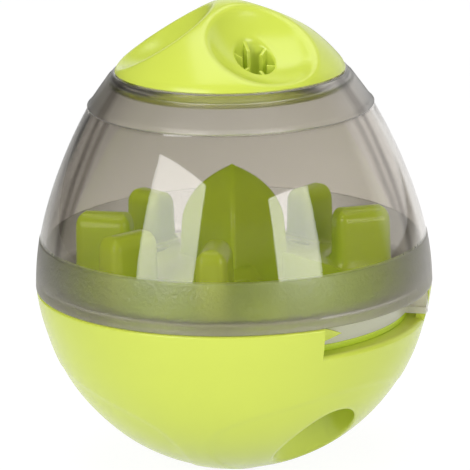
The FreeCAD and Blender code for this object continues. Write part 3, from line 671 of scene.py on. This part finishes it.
def peak_half(height):
    """Half width of the peak at a height over the deck: straight, then one bow to its tip."""
    (x1, z1), (x2, z2), (x3, z3) = PEAK_SHOULDER, PEAK_BEND, (0.0, PEAK_H)
    a = np.array([[x2 - x1, z2 - z1], [x3 - x2, z3 - z2]]) * 2
    b = [x2**2 - x1**2 + z2**2 - z1**2, x3**2 - x2**2 + z3**2 - z2**2]
    x0, z0 = np.linalg.solve(a, b)
    radius = math.hypot(x1 - x0, z1 - z0)
    bowed = x0 + np.sqrt(np.maximum(radius**2 - (height - z0) ** 2, 0))
    straight = PEAK_HALF + (x1 - PEAK_HALF) * height / z1
    return np.where(height < z1, straight, bowed)


def peak_patch():
    """The peak: squares with softened corners, a corner to the front, that narrow to a tip."""
    low, shoulder = chute_z(PEAK_HALF) - DECK_TOP_Z - 1.0, PEAK_SHOULDER[1]
    to_tip = PEAK_H - (PEAK_H - shoulder) * np.linspace(0.95, 0, 30) ** 1.6
    heights = np.r_[low, low, np.linspace(0, shoulder, 9), to_tip]
    halves = np.maximum(peak_half(np.maximum(heights, 0)), 0)
    halves[0] = halves[-1] = 0.0
    rows = []
    for half, height in zip(halves, heights):
        flat = turned(soft_square(half, half, min(RIDGE_ROUND, half)), 45)
        rows.append(np.column_stack([flat, np.full(len(flat), DECK_TOP_Z + height)]))
    return closed(np.array(rows)), None


def peg_patch(azimuth, turn, radius, half_deep):
    """A peg: a rounded block with some draft, and a small fillet where it grows out of the deck.

    Its lower rows follow the deck, and the rest are measured down from its top.
    """
    foot = [(2 * half_deep, -PEG_SINK), (-PEG_FOOT, -PEG_SINK), (-PEG_FOOT, 0.0),
            (-0.3 * PEG_FOOT, 0.3 * PEG_FOOT), (0.0, PEG_FOOT)]
    crest = [(PEG_CROWN * (1 - math.cos(t)), -PEG_CROWN * (1 - math.sin(t)))
             for t in np.radians(np.linspace(0, 90, 9))]
    upper = [(0.0, -14.0), (0.0, -9.0)] + crest + [(2 * half_deep, 0.0)]
    levels = [(inset - PEG_DRAFT, rise, False) for inset, rise in foot]
    levels += [(inset + PEG_DRAFT * (1 + 2 * rise / PEG_H), rise, True) for inset, rise in upper]
    centre = spot(radius, azimuth, 0.0)[:2]
    rows = []
    for inset, rise, from_top in levels:
        half_u = max(PEG_HALF - inset, 0.0)
        half_v = max(half_deep - inset * (0.7 if from_top else 1.0), 0.0)
        flat = soft_square(half_u, half_v, min(max(PEG_ROUND - inset, 0.02), half_u))
        x, y = (centre + turned(flat, turn)).T
        reach = np.maximum(np.hypot(x, y) / (TRAY_R - DECK_ROUND), 1)
        ground = np.full(len(x), PEG_TOP_Z) if from_top else deck_z(x / reach, y / reach)
        rows.append(np.column_stack([x, y, ground + rise]))
    return closed(np.array(rows)), None


peg_patches = [peg_patch(*place) for place in PEG_PLACES]
tray = make_piece("lime_tray", deck_patches() + [peak_patch()] + peg_patches, [tray_lime], "base")
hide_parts("tray")


# Dome: one moulding of smoky polycarbonate. Its wall is polished clear between two bands that the
# tool's texture leaves frosted. A skirt below it turns in the bowl's rim, with a window for the
# treats, three lugs that hook under ribs, and a block that stops the turn in the notch.

CLEAR, FROSTED, SATIN, PAINTED_PALE = range(4)
PC_IOR = 1.58
DOME_Z = RIM_Z + 0.3
DOME_R = box_mm("dome")[1][0]
DOME_WALL = 2.0
LOWER_BOW_R = 81.0
UPPER_BOW_R = 146.5
BOW_CHANGE_H = 23.8
LIP_Z = box_mm("dome")[1][2]
LIP_ROUND = 0.8
MOUTH_R = 31.8
LIP_R = MOUTH_R + 2.6
COLLAR_R = MOUTH_R + 2.0
COLLAR_H = 4.4
LOW_BAND_Z = RIM_Z + 15.1
TOP_BAND_Z = LIP_Z - 10.0
BAND_STEP = 0.15
BAND_RAISE = 0.3
SKIRT = (49.3, 51.3)
WINDOW = (79.0, 115.0)
WINDOW_H = 6.2
WINDOW_COLUMNS = (325, 37)
FOOT_ROUND = 0.5
FLOOR_ROUND = 1.5
LIP_TILT = 20
STOP_BLOCK = (75.3, 78.0)
STOP_R = (50.8, 57.3)
STOP_TOP_Z = DOME_Z + 0.5
STOP_STEP = (1.5, 4.9)
LUG_AZIMUTHS = (-5.0, -90.0, 150.0)
LUG_HALF = 9.0
LUG_Z = (47.9, 50.0)
LUG_R = (50.8, 53.4)


def wall_r(z, inset=0.0):
    """Radius of the dome's wall: two bows that meet without a corner, less an inset."""
    lower = np.array([DOME_R - LOWER_BOW_R, RIM_Z])
    rise = math.asin(BOW_CHANGE_H / LOWER_BOW_R)
    upper = lower - (UPPER_BOW_R - LOWER_BOW_R) * np.array([math.cos(rise), math.sin(rise)])
    change = lower[1] + (LOWER_BOW_R - inset) * math.sin(rise)
    low = lower[0] + np.sqrt((LOWER_BOW_R - inset) ** 2 - (np.minimum(z, change) - lower[1]) ** 2)
    high = upper[0] + np.sqrt((UPPER_BOW_R - inset) ** 2 - (z - upper[1]) ** 2)
    return np.where(z < change, low, high)


def up_wall(low, high, inset, count):
    """Section points up the dome's wall."""
    z = np.linspace(low, high, count)
    return np.stack([wall_r(z, inset), z], -1)


def dome_patches():
    """Skin of the dome: sections with a finish each, swept around the axis.

    The skirt's lower edge is the one part that changes with the azimuth: the window lifts it.
    """
    start, end = WINDOW
    turns = np.r_[np.linspace(end, start + 360, WINDOW_COLUMNS[0]),
                  np.linspace(start + 360, end + 360, WINDOW_COLUMNS[1]), end + 360]
    lifted = np.repeat([False, True, False], (*WINDOW_COLUMNS, 1))
    band_r = wall_r(TOP_BAND_Z)
    brim_r = band_r + BAND_RAISE
    slope = (brim_r - LIP_R) / (LIP_Z - TOP_BAND_Z)
    lip_low = LIP_Z - LIP_ROUND
    collar_z = LIP_Z - COLLAR_H
    floor_z = DOME_Z + DOME_WALL
    bend_z = floor_z + FLOOR_ROUND
    step_z = LOW_BAND_Z - 0.2
    sections = [
        (FROSTED, np.concatenate([
            arc(DOME_R - FOOT_ROUND, DOME_Z + FOOT_ROUND, FOOT_ROUND, -90, 0, 5),
            up_wall(DOME_Z + 1.2, step_z, 0.0, 18),
            [(wall_r(LOW_BAND_Z) - BAND_STEP * 0.3, LOW_BAND_Z - 0.05),
             (wall_r(LOW_BAND_Z) - BAND_STEP, LOW_BAND_Z)]])),
        (CLEAR, np.concatenate([
            up_wall(LOW_BAND_Z, TOP_BAND_Z - 0.1, BAND_STEP, 40),
            [(band_r - BAND_STEP, TOP_BAND_Z)]])),
        (SATIN, np.concatenate([
            [(band_r - BAND_STEP, TOP_BAND_Z), (brim_r - 0.2, TOP_BAND_Z),
             (brim_r - 0.05, TOP_BAND_Z + 0.12), (brim_r, TOP_BAND_Z + 0.35)],
            run((brim_r - slope, TOP_BAND_Z + 1), (LIP_R + slope * LIP_ROUND, lip_low), 10),
            arc(LIP_R - LIP_ROUND, lip_low, LIP_ROUND, LIP_TILT, 90, 6)])),
        (CLEAR, np.concatenate([
            [(LIP_R - LIP_ROUND, LIP_Z)],
            arc(MOUTH_R + EDGE_ROUND, LIP_Z - EDGE_ROUND, EDGE_ROUND, 90, 180, 3),
            [(MOUTH_R, collar_z + EDGE_ROUND), (MOUTH_R + EDGE_ROUND, collar_z),
             (COLLAR_R - EDGE_ROUND, collar_z), (COLLAR_R, collar_z + EDGE_ROUND),
             (COLLAR_R, LIP_Z - DOME_WALL - 0.8), (wall_r(LIP_Z - 3.2, DOME_WALL), LIP_Z - 3.2)],
            up_wall(LIP_Z - 4.0, TOP_BAND_Z, DOME_WALL, 6)])),
        (CLEAR, up_wall(TOP_BAND_Z, LOW_BAND_Z, DOME_WALL, 40)),
        (FROSTED, np.concatenate([
            up_wall(LOW_BAND_Z, bend_z, DOME_WALL, 14),
            arc(wall_r(bend_z, DOME_WALL) - FLOOR_ROUND, bend_z, FLOOR_ROUND, 0, -90, 6)[1:],
            [(SKIRT[0] + EDGE_ROUND, floor_z)]])),
        # The skirt takes the pale material, whose near-white colour is painted light.
        (PAINTED_PALE, np.concatenate([
            [(SKIRT[0] + EDGE_ROUND, floor_z), (SKIRT[0], floor_z - EDGE_ROUND)],
            run((SKIRT[0], floor_z - 1.5), (SKIRT[0], FLANGE_Z + 1.0), 4),
            [(SKIRT[0], FLANGE_Z + EDGE_ROUND), (SKIRT[0] + EDGE_ROUND, FLANGE_Z),
             (SKIRT[1] - EDGE_ROUND, FLANGE_Z), (SKIRT[1], FLANGE_Z + EDGE_ROUND)],
            run((SKIRT[1], FLANGE_Z + 1.0), (SKIRT[1], DOME_Z), 3),
            [(SKIRT[1], DOME_Z), (DOME_R - FOOT_ROUND, DOME_Z)]])),
    ]
    patches = []
    for finish, section in sections:
        r = np.broadcast_to(section[:, :1], (len(section), len(turns)))
        z = np.broadcast_to(section[:, 1:], r.shape)
        hung = lifted & (z < FLANGE_Z + WINDOW_H) & (r < SKIRT[1] + 0.01)
        patches.append((spot(r, turns, np.where(hung, FLANGE_Z + WINDOW_H, z)), None, finish))
    return patches


def stop_parts():
    """The stop block in the notch, with a step moulded into its near side, and the three lugs."""
    near, far = STOP_BLOCK
    step, step_z = near + STOP_STEP[0], DOME_Z - STOP_STEP[1]
    stop = block([(near, FLANGE_Z), (far, FLANGE_Z), (far, STOP_TOP_Z), (step, STOP_TOP_Z),
                  (step, step_z), (near, step_z)], *STOP_R, 0.2, around)
    # The stop block takes the pale material, whose near-white colour is painted light.
    parts = [(*stop, PAINTED_PALE)]
    for azimuth in LUG_AZIMUTHS:
        along = np.linspace(azimuth - LUG_HALF, azimuth + LUG_HALF, 9)
        corners = [(u, LUG_Z[0]) for u in along] + [(u, LUG_Z[1]) for u in along[::-1]]
        parts.append(block(corners, *LUG_R, 0.15, around))
    return parts


def lamp_through(tree, shader, tint):
    """Sends lamp and bounce light straight through a wall, tinted, instead of bending it.

    The eye sees the wall's own gloss and bending. What lies behind is lit as through thin plastic.
    """
    path = add_node(tree, "LightPath").outputs
    straight = add_node(tree, "Math", {0: path["Is Shadow Ray"], 1: path["Is Diffuse Ray"]},
                        operation="MAXIMUM")
    pane = add_node(tree, "BsdfTransparent", {"Color": linear(tint)})
    mixed = add_node(tree, "MixShader", {0: straight.outputs[0], 1: shader.outputs[0],
                                         2: pane.outputs[0]})
    feed(tree, tree.nodes["Material Output"], {"Surface": mixed.outputs[0]})


def smoky(name, stops, size, detail, strength, depth, roughness, tint):
    """Smoky polycarbonate whose skin has grains or waves of a size and a depth in millimetres.

    A stop is a slant, 0 straight on to 1 along the wall, and its colour. A slanting look has a
    longer way through the brown-grey wall, so it is darker; the darker stops are also painted
    shade,
    for the dark room seen through the curving wall. At the very edge the colour is pale again:
    painted light, for the light that the polished wall carries round the dome.
    """
    material, tree, shader, place = new_material(name)
    slant = add_node(tree, "LayerWeight", {"Blend": 0.5}).outputs["Facing"]
    # The ramp by slant paints shade on the wall, and painted light where its stops turn pale
    # again.
    shade = add_node(tree, "ValToRGB", {"Fac": slant})
    ramp = shade.color_ramp.elements
    for element, (position, colour) in zip(ramp, (stops[0], stops[-1])):
        element.position, element.color = position, linear(colour)
    for position, colour in stops[1:-1]:
        ramp.new(position).color = linear(colour)
    skin = add_node(tree, "TexNoise", {"Vector": place, "Scale": 1 / (size * MM),
                                       "Detail": detail}).outputs["Fac"]
    bump = add_node(tree, "Bump", {"Height": skin, "Strength": strength, "Distance": depth * MM})
    feed(tree, shader, {"Base Color": shade.outputs["Color"], "Normal": bump.outputs[0],
                        "Transmission Weight": 1.0, "IOR": PC_IOR, "Roughness": roughness})
    lamp_through(tree, shader, tint)
    return material


def smoky_painted_pale():
    """Hard-blasted where the tool is narrow: the skirt and the stop block. Their near-white colour
    is painted light, standing for the white surroundings that they pass and reflect.
    """
    material, tree, shader, place = new_material("smoky_painted_pale")
    speck = add_node(tree, "TexNoise", {"Vector": place, "Scale": 1 / (0.5 * MM)}).outputs["Fac"]
    # Near-white painted light: the pale colour stands for the white surroundings seen in the
    # skirt.
    mixed = add_node(tree, "Mix", {"Factor": speck, 6: linear("#e6e3de"), 7: linear("#efedea")},
                     data_type="RGBA")
    bump = add_node(tree, "Bump", {"Height": speck, "Strength": 0.2, "Distance": 0.1 * MM})
    feed(tree, shader, {"Base Color": mixed.outputs[2], "Normal": bump.outputs[0],
                        "Transmission Weight": 0.6, "IOR": PC_IOR, "Roughness": 0.3})
    lamp_through(tree, shader, "#e3e0db")
    return material


# Polished: clear, with the slight flow waves of a moulding. Its ramp paints a narrow dark band of
# shade at a slant, and pale painted light past it at the edge.
clear = smoky("smoky_clear", [(0.52, "#ddd8d1"), (0.56, "#7b746d"), (0.58, "#7b746d"),
                              (0.62, "#ddd8d1")], size=14.0, detail=1.0, strength=0.05,
              depth=0.4, roughness=0.03, tint="#eeece8")

# Off a sand-blasted part of the tool: the low band's bubbly grain scatters light. Its colour
# darkens with the slant, partly for the longer way through the wall and partly as painted shade at
# its sides.
frosted = smoky("smoky_frosted", [(0.12, "#e0dcd6"), (0.36, "#b3aea6"), (0.52, "#a19c94")],
                size=1.1, detail=2.0, strength=0.7, depth=0.25, roughness=0.34, tint="#e3e0db")

# Off a fine-blasted part: what lies behind the top band is blurred, and still bright. Its ramp
# paints a dark band of shade at a slant, and pale painted light past it at the edge.
satin = smoky("smoky_satin", [(0.48, "#d8d3cc"), (0.54, "#857e77"), (0.59, "#857e77"),
                              (0.64, "#d8d3cc")], size=0.6, detail=2.0, strength=0.1,
              depth=0.1, roughness=0.3, tint="#eae7e3")

dome = make_piece("smoky_dome", dome_patches() + stop_parts(),
                  [clear, frosted, satin, smoky_painted_pale()], "dome")
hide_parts("dome")


# Cap: a lime ABS shell with three finger dimples, each with a finned socket in its middle. A cup
# screwed on from below closes it and plugs the mouth of the dome.

CAP_Z = LIP_Z + 0.4
CAP_R = 33.9
CAP_EDGE_R = CAP_R - 0.2
CAP_WALL = 2.0
CROWN_R = 49.5
CROWN_OUT = 6.3
TIP_R = 20.0
DIMPLE_R = 23.7
DIMPLE_AT = (27.9, 24.68)
DIMPLE_AZIMUTHS = (28.45, 148.45, 268.45)
DIMPLE_BLEND = 1.8
EDGE_BLEND = 1.6
SOCKET_R = 5.65
SOCKET_AT_R = 14.8
SOCKET_WALL = 1.2
SOCKET_Z = CAP_Z - 1.0
SOCKET_LIP = 1.0
SOCKET_ROUND = 0.5
SOCKET_BLOCK = (46.0, 25.5, 34.0)
FIN_COUNT = 6
FIN_T = 1.0
FIN_TIP_R = 3.4
FIN_SINK = 0.5
HUB_Z = CAP_Z - 8.0


def soft_max(a, b, blend):
    """The larger of two distances, blended smoothly where they differ by less than blend."""
    near = np.maximum(blend - np.abs(a - b), 0) / blend
    return np.maximum(a, b) + near**2 * blend / 4


def dimple_middle(azimuth):
    """Centre of the ball that scoops a dimple."""
    return spot(DIMPLE_AT[0], azimuth, CAP_Z + DIMPLE_AT[1])


def cap_distance(point, inset):
    """Roughly the distance out of the cap's skin: a bowed crown, a round tip, less the dimples."""
    r, z = np.hypot(point[..., 0], point[..., 1]), point[..., 2]
    centre_z = CAP_Z - math.sqrt(CROWN_R**2 - (CAP_R + CROWN_OUT) ** 2)
    tip_z = centre_z + math.sqrt((CROWN_R - TIP_R) ** 2 - CROWN_OUT**2)
    bow = np.hypot(r + CROWN_OUT, z - centre_z) - CROWN_R
    tip = np.hypot(r, z - tip_z) - TIP_R
    on_tip = (z - centre_z) * CROWN_OUT > (r + CROWN_OUT) * (tip_z - centre_z)
    skin = np.where(on_tip, tip, bow) + inset
    for azimuth in DIMPLE_AZIMUTHS:
        ball = DIMPLE_R + inset - np.linalg.norm(point - dimple_middle(azimuth), axis=-1)
        skin = soft_max(skin, ball, DIMPLE_BLEND)
    return soft_max(skin, r - CAP_EDGE_R + inset, EDGE_BLEND)


def cap_point(tilt, azimuth, inset=0.0):
    """Where rays from the hub, tilt degrees from straight up, leave the cap: found by halving.

    The skin inside ends on the level of the cap's edge where the ball of a dimple goes below it.
    """
    ray = spot(np.sin(np.radians(tilt)), azimuth, np.cos(np.radians(tilt)))
    hub = np.array([0.0, 0.0, HUB_Z])
    near, far = np.full(ray.shape[:-1], 4.0), np.full(ray.shape[:-1], 48.0)
    for _ in range(30):
        middle = (near + far) / 2
        inside = cap_distance(hub + ray * middle[..., None], inset) < 0
        near, far = np.where(inside, middle, near), np.where(inside, far, middle)
    point = hub + ray * near[..., None]
    point[..., 2] = np.maximum(point[..., 2], CAP_Z)
    return point


def dimple_z(flat, azimuth, radius):
    """Height of a dimple's ball's lower side over points in plan, not below the cap's edge."""
    middle = dimple_middle(azimuth)
    drop = np.sqrt(radius**2 - ((flat - middle[:2]) ** 2).sum(axis=-1))
    return np.maximum(middle[2] - drop, CAP_Z)


def socket_hole(azimuth, inset):
    """One socket for holed_grid: an upright well with a soft lip, or its wall inside the cap."""
    middle = spot(SOCKET_AT_R, azimuth, 0.0)
    wall = SOCKET_WALL if inset else 0.0
    radius, floor_z = SOCKET_R + wall, SOCKET_Z - wall
    lip = EDGE_ROUND if inset else SOCKET_LIP
    hub, deep, wide = SOCKET_BLOCK

    def on_dimple(angle, size):
        flat = ring(middle, angle, size)
        return np.column_stack([flat, dimple_z(flat, azimuth, DIMPLE_R + inset)])

    def rim(angle):
        points = on_dimple(angle, radius + lip)
        r, turn = polar(points)
        return plane(np.degrees(np.arctan2(r, points[:, 2] - HUB_Z)), turn)

    def inside(angle):
        corner = on_dimple(angle, radius)
        last = corner - np.array([0, 0, lip])
        low = ring(middle, angle, radius, floor_z + SOCKET_ROUND)
        bend = ring(middle, angle, radius - 0.3 * SOCKET_ROUND, floor_z + 0.3 * SOCKET_ROUND)
        flat = [ring(middle, angle, size, floor_z)
                for size in (radius - SOCKET_ROUND, radius / 2, 0.0)]
        return np.concatenate([curl(on_dimple(angle, radius + lip), corner, last, 5),
                               onward(last, low, 5), [bend], flat])

    return hub, azimuth + 360.0, deep, wide, rim, inside


def fin_patch(azimuth, number):
    """A thin upright fin from a socket's wall towards its middle, its top under the dimple."""
    turn = azimuth + 180.0 + number * 360.0 / FIN_COUNT
    middle = spot(SOCKET_AT_R, azimuth, 0.0)
    along, across = spot(1.0, turn, 0.0), spot(1.0, turn + 90, 0.0)
    low, high = SOCKET_Z - 0.5, np.linspace(SOCKET_R + 0.3, FIN_TIP_R, 5)
    top = dimple_z(middle[:2] + high[:, None] * along[:2], azimuth, DIMPLE_R + FIN_SINK)
    corners = [(high[-1], low), (high[0], low)] + list(zip(high, top))

    def place(u, v, w):
        return middle + u[:, None] * along + w * across + v[:, None] * np.array([0, 0, 1.0])

    return block(corners, -FIN_T / 2, FIN_T / 2, 0.25, place)


def cap_patches():
    """Outside, lower edge and inside of the cap as one closed skin."""
    turns = np.linspace(DIMPLE_AZIMUTHS[0] + 300, DIMPLE_AZIMUTHS[0] + 660, 361)
    edge = math.degrees(math.atan2(CAP_EDGE_R, CAP_Z - HUB_Z))
    inner_edge = math.degrees(math.atan2(CAP_EDGE_R - CAP_WALL, CAP_Z - HUB_Z))
    tilts_out, tilts_in = np.linspace(0, edge, 91), np.linspace(inner_edge, 0, 61)
    skins = []
    for inset, tilts in ((0.0, tilts_out), (CAP_WALL, tilts_in)):
        holes = [socket_hole(a, inset) for a in DIMPLE_AZIMUTHS]
        skins.append(holed_grid(tilts, turns, lambda t, a, i=inset: cap_point(t, a, i), holes))
    low = np.array([skins[0][0][0][-1], skins[1][0][0][0]])
    low[:, :, 2] = CAP_Z
    joint_out = np.array([skins[0][0][0][-1], low[0]])
    joint_in = np.array([low[1], skins[1][0][0][0]])
    return skins[0] + [(joint_out, None), (low, None), (joint_in, None)] + skins[1]


fin_patches = [fin_patch(a, k) for a in DIMPLE_AZIMUTHS for k in range(FIN_COUNT)]
cap = make_piece("lime_cap", cap_patches() + fin_patches, [lime], "cap")
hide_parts("top_cap")
finish_node("cap_plug", lime)


# Studio: a white sweep behind the object, white paper under it, and a dark room around the lens.
# Two softboxes left and right of the lens are the bright quads that the dome reflects, and a third
# hangs above and behind the object.

WHITE = linear("#ffffff")
FLOOR_SIZE = 6.0
SWEEP_HALF = 0.3
SWEEP_AWAY = spot(1.0, 153.0, 0.0)
SWEEP_ACROSS = spot(1.0, 63.0, 0.0)
SWEEP_FROM = 0.60
SWEEP_TO = 0.75
PAPER_SHARE = 0.85
PAPER_GLOW = 1.1
FILL = 0.24
ROOM = 0.06
EYE_HEIGHT = 64.32 * MM


def floor_paper():
    """Matt white paper. The eye sees it near white, and so do gloss and glass along its middle."""
    material, tree, shader, place = new_material("matt_white_paper")
    feed(tree, shader, {"Base Color": linear("#f4f4f2"), "Roughness": 0.9})
    path = add_node(tree, "LightPath").outputs
    aside = add_node(tree, "VectorMath", {0: place, 1: SWEEP_ACROSS}, operation="DOT_PRODUCT")
    aside = add_node(tree, "Math", {0: aside.outputs["Value"]}, operation="ABSOLUTE")
    near = add_node(tree, "MapRange", {"Value": aside.outputs[0], "From Min": SWEEP_HALF,
                                       "From Max": SWEEP_HALF * 0.4})
    mirrored = add_node(tree, "Math", {0: path["Is Glossy Ray"], 1: path["Is Transmission Ray"]},
                        operation="MAXIMUM")
    mirrored = add_node(tree, "Math", {0: mirrored.outputs[0], 1: near.outputs["Result"]},
                        operation="MULTIPLY")
    seen = add_node(tree, "Math", {0: mirrored.outputs[0], 1: path["Is Camera Ray"]},
                    operation="MAXIMUM")
    share = add_node(tree, "Math", {0: seen.outputs[0], 1: PAPER_SHARE}, operation="MULTIPLY")
    glow = add_node(tree, "Emission", {"Color": WHITE, "Strength": PAPER_GLOW})
    mixed = add_node(tree, "MixShader", {0: share.outputs[0], 1: shader.outputs[0],
                                         2: glow.outputs[0]})
    feed(tree, tree.nodes["Material Output"], {"Surface": mixed.outputs[0]})
    return material


bpy.ops.mesh.primitive_plane_add(size=FLOOR_SIZE)
floor = bpy.context.object
floor.name = "floor"
floor.data.materials.append(floor_paper())

world = bpy.data.worlds.new("studio")
bpy.context.scene.world = world
world.use_nodes = True
sky = world.node_tree
fill = sky.nodes["Background"]
feed(sky, fill, {"Color": WHITE, "Strength": FILL})
sweep = add_node(sky, "Background", {"Color": WHITE, "Strength": 1.0})
room = add_node(sky, "Background", {"Color": WHITE, "Strength": ROOM})
ray = add_node(sky, "LightPath").outputs
toward = add_node(sky, "VectorMath", {0: add_node(sky, "TexCoord").outputs["Generated"],
                                      1: SWEEP_AWAY}, operation="DOT_PRODUCT")
behind = add_node(sky, "MapRange", {"Value": toward.outputs["Value"], "From Min": SWEEP_FROM,
                                    "From Max": SWEEP_TO})
mirror = add_node(sky, "Math", {0: ray["Is Glossy Ray"], 1: ray["Is Transmission Ray"]},
                  operation="MAXIMUM")
studio = add_node(sky, "MixShader", {0: behind.outputs["Result"], 1: room.outputs[0],
                                     2: sweep.outputs[0]})
lit = add_node(sky, "MixShader", {0: mirror.outputs[0], 1: fill.outputs[0], 2: studio.outputs[0]})
shown = add_node(sky, "MixShader", {0: ray["Is Camera Ray"], 1: lit.outputs[0],
                                    2: sweep.outputs[0]})
feed(sky, sky.nodes["World Output"], {"Surface": shown.outputs[0]})


def softbox(name, azimuth, elevation, distance, size, radiance, roll=0.0):
    """A rectangular lamp facing the object's middle. Lengths are metres, radiance 1 is white."""
    light = bpy.data.lights.new(name, "AREA")
    light.shape = "RECTANGLE"
    light.size, light.size_y = size
    light.energy = radiance * math.pi * light.size * light.size_y
    lamp = bpy.data.objects.new(name, light)
    out = spot(math.cos(math.radians(elevation)), azimuth, math.sin(math.radians(elevation)))
    lamp.location = out * distance + np.array([0, 0, EYE_HEIGHT])
    lamp.rotation_euler = (math.radians(90 - elevation), 0, math.radians(azimuth))
    lamp.rotation_euler.rotate_axis("Z", math.radians(roll))
    bpy.context.scene.collection.objects.link(lamp)


softbox("left_softbox", -39.7, 20.0, 0.8, (0.49, 0.47), 4.2, roll=-2.0)
softbox("right_softbox", 38.5, 16.8, 0.8, (0.37, 0.38), 4.6, roll=-3.0)
softbox("top_softbox", 180.0, 88.0, 0.9, (0.8, 0.9), 2.2)


# Camera: a long lens 1.2 m away, looking down on the object by about 15 degrees and rolled by one.
# The shift puts the object's middle where the photograph has it, in a frame of 470 pixels.

LENS_ELEVATION = 14.94
LENS_DISTANCE = 1.2
LENS_ROLL = 1.11
SENSOR = 36.0
FRAME_PX = 470
FOCAL_PX = 4109.3
MIDDLE_PX = (233.5, 246.8)
FAR_END = 20.0

camera_data = bpy.data.cameras.new("camera")
camera_data.sensor_width = SENSOR
camera_data.lens = SENSOR * FOCAL_PX / FRAME_PX
camera_data.shift_x = (FRAME_PX / 2 - MIDDLE_PX[0]) / FRAME_PX
camera_data.shift_y = (MIDDLE_PX[1] - FRAME_PX / 2) / FRAME_PX
camera_data.clip_end = FAR_END
camera = bpy.data.objects.new("camera", camera_data)
back = spot(math.cos(math.radians(LENS_ELEVATION)), 0.0, math.sin(math.radians(LENS_ELEVATION)))
camera.location = back * LENS_DISTANCE + np.array([0, 0, EYE_HEIGHT])
camera.rotation_euler = (math.radians(90 - LENS_ELEVATION), 0, 0)
camera.rotation_euler.rotate_axis("Z", math.radians(-LENS_ROLL))
bpy.context.scene.collection.objects.link(camera)
bpy.context.scene.camera = camera
bpy.context.scene.view_settings.view_transform = "Standard"
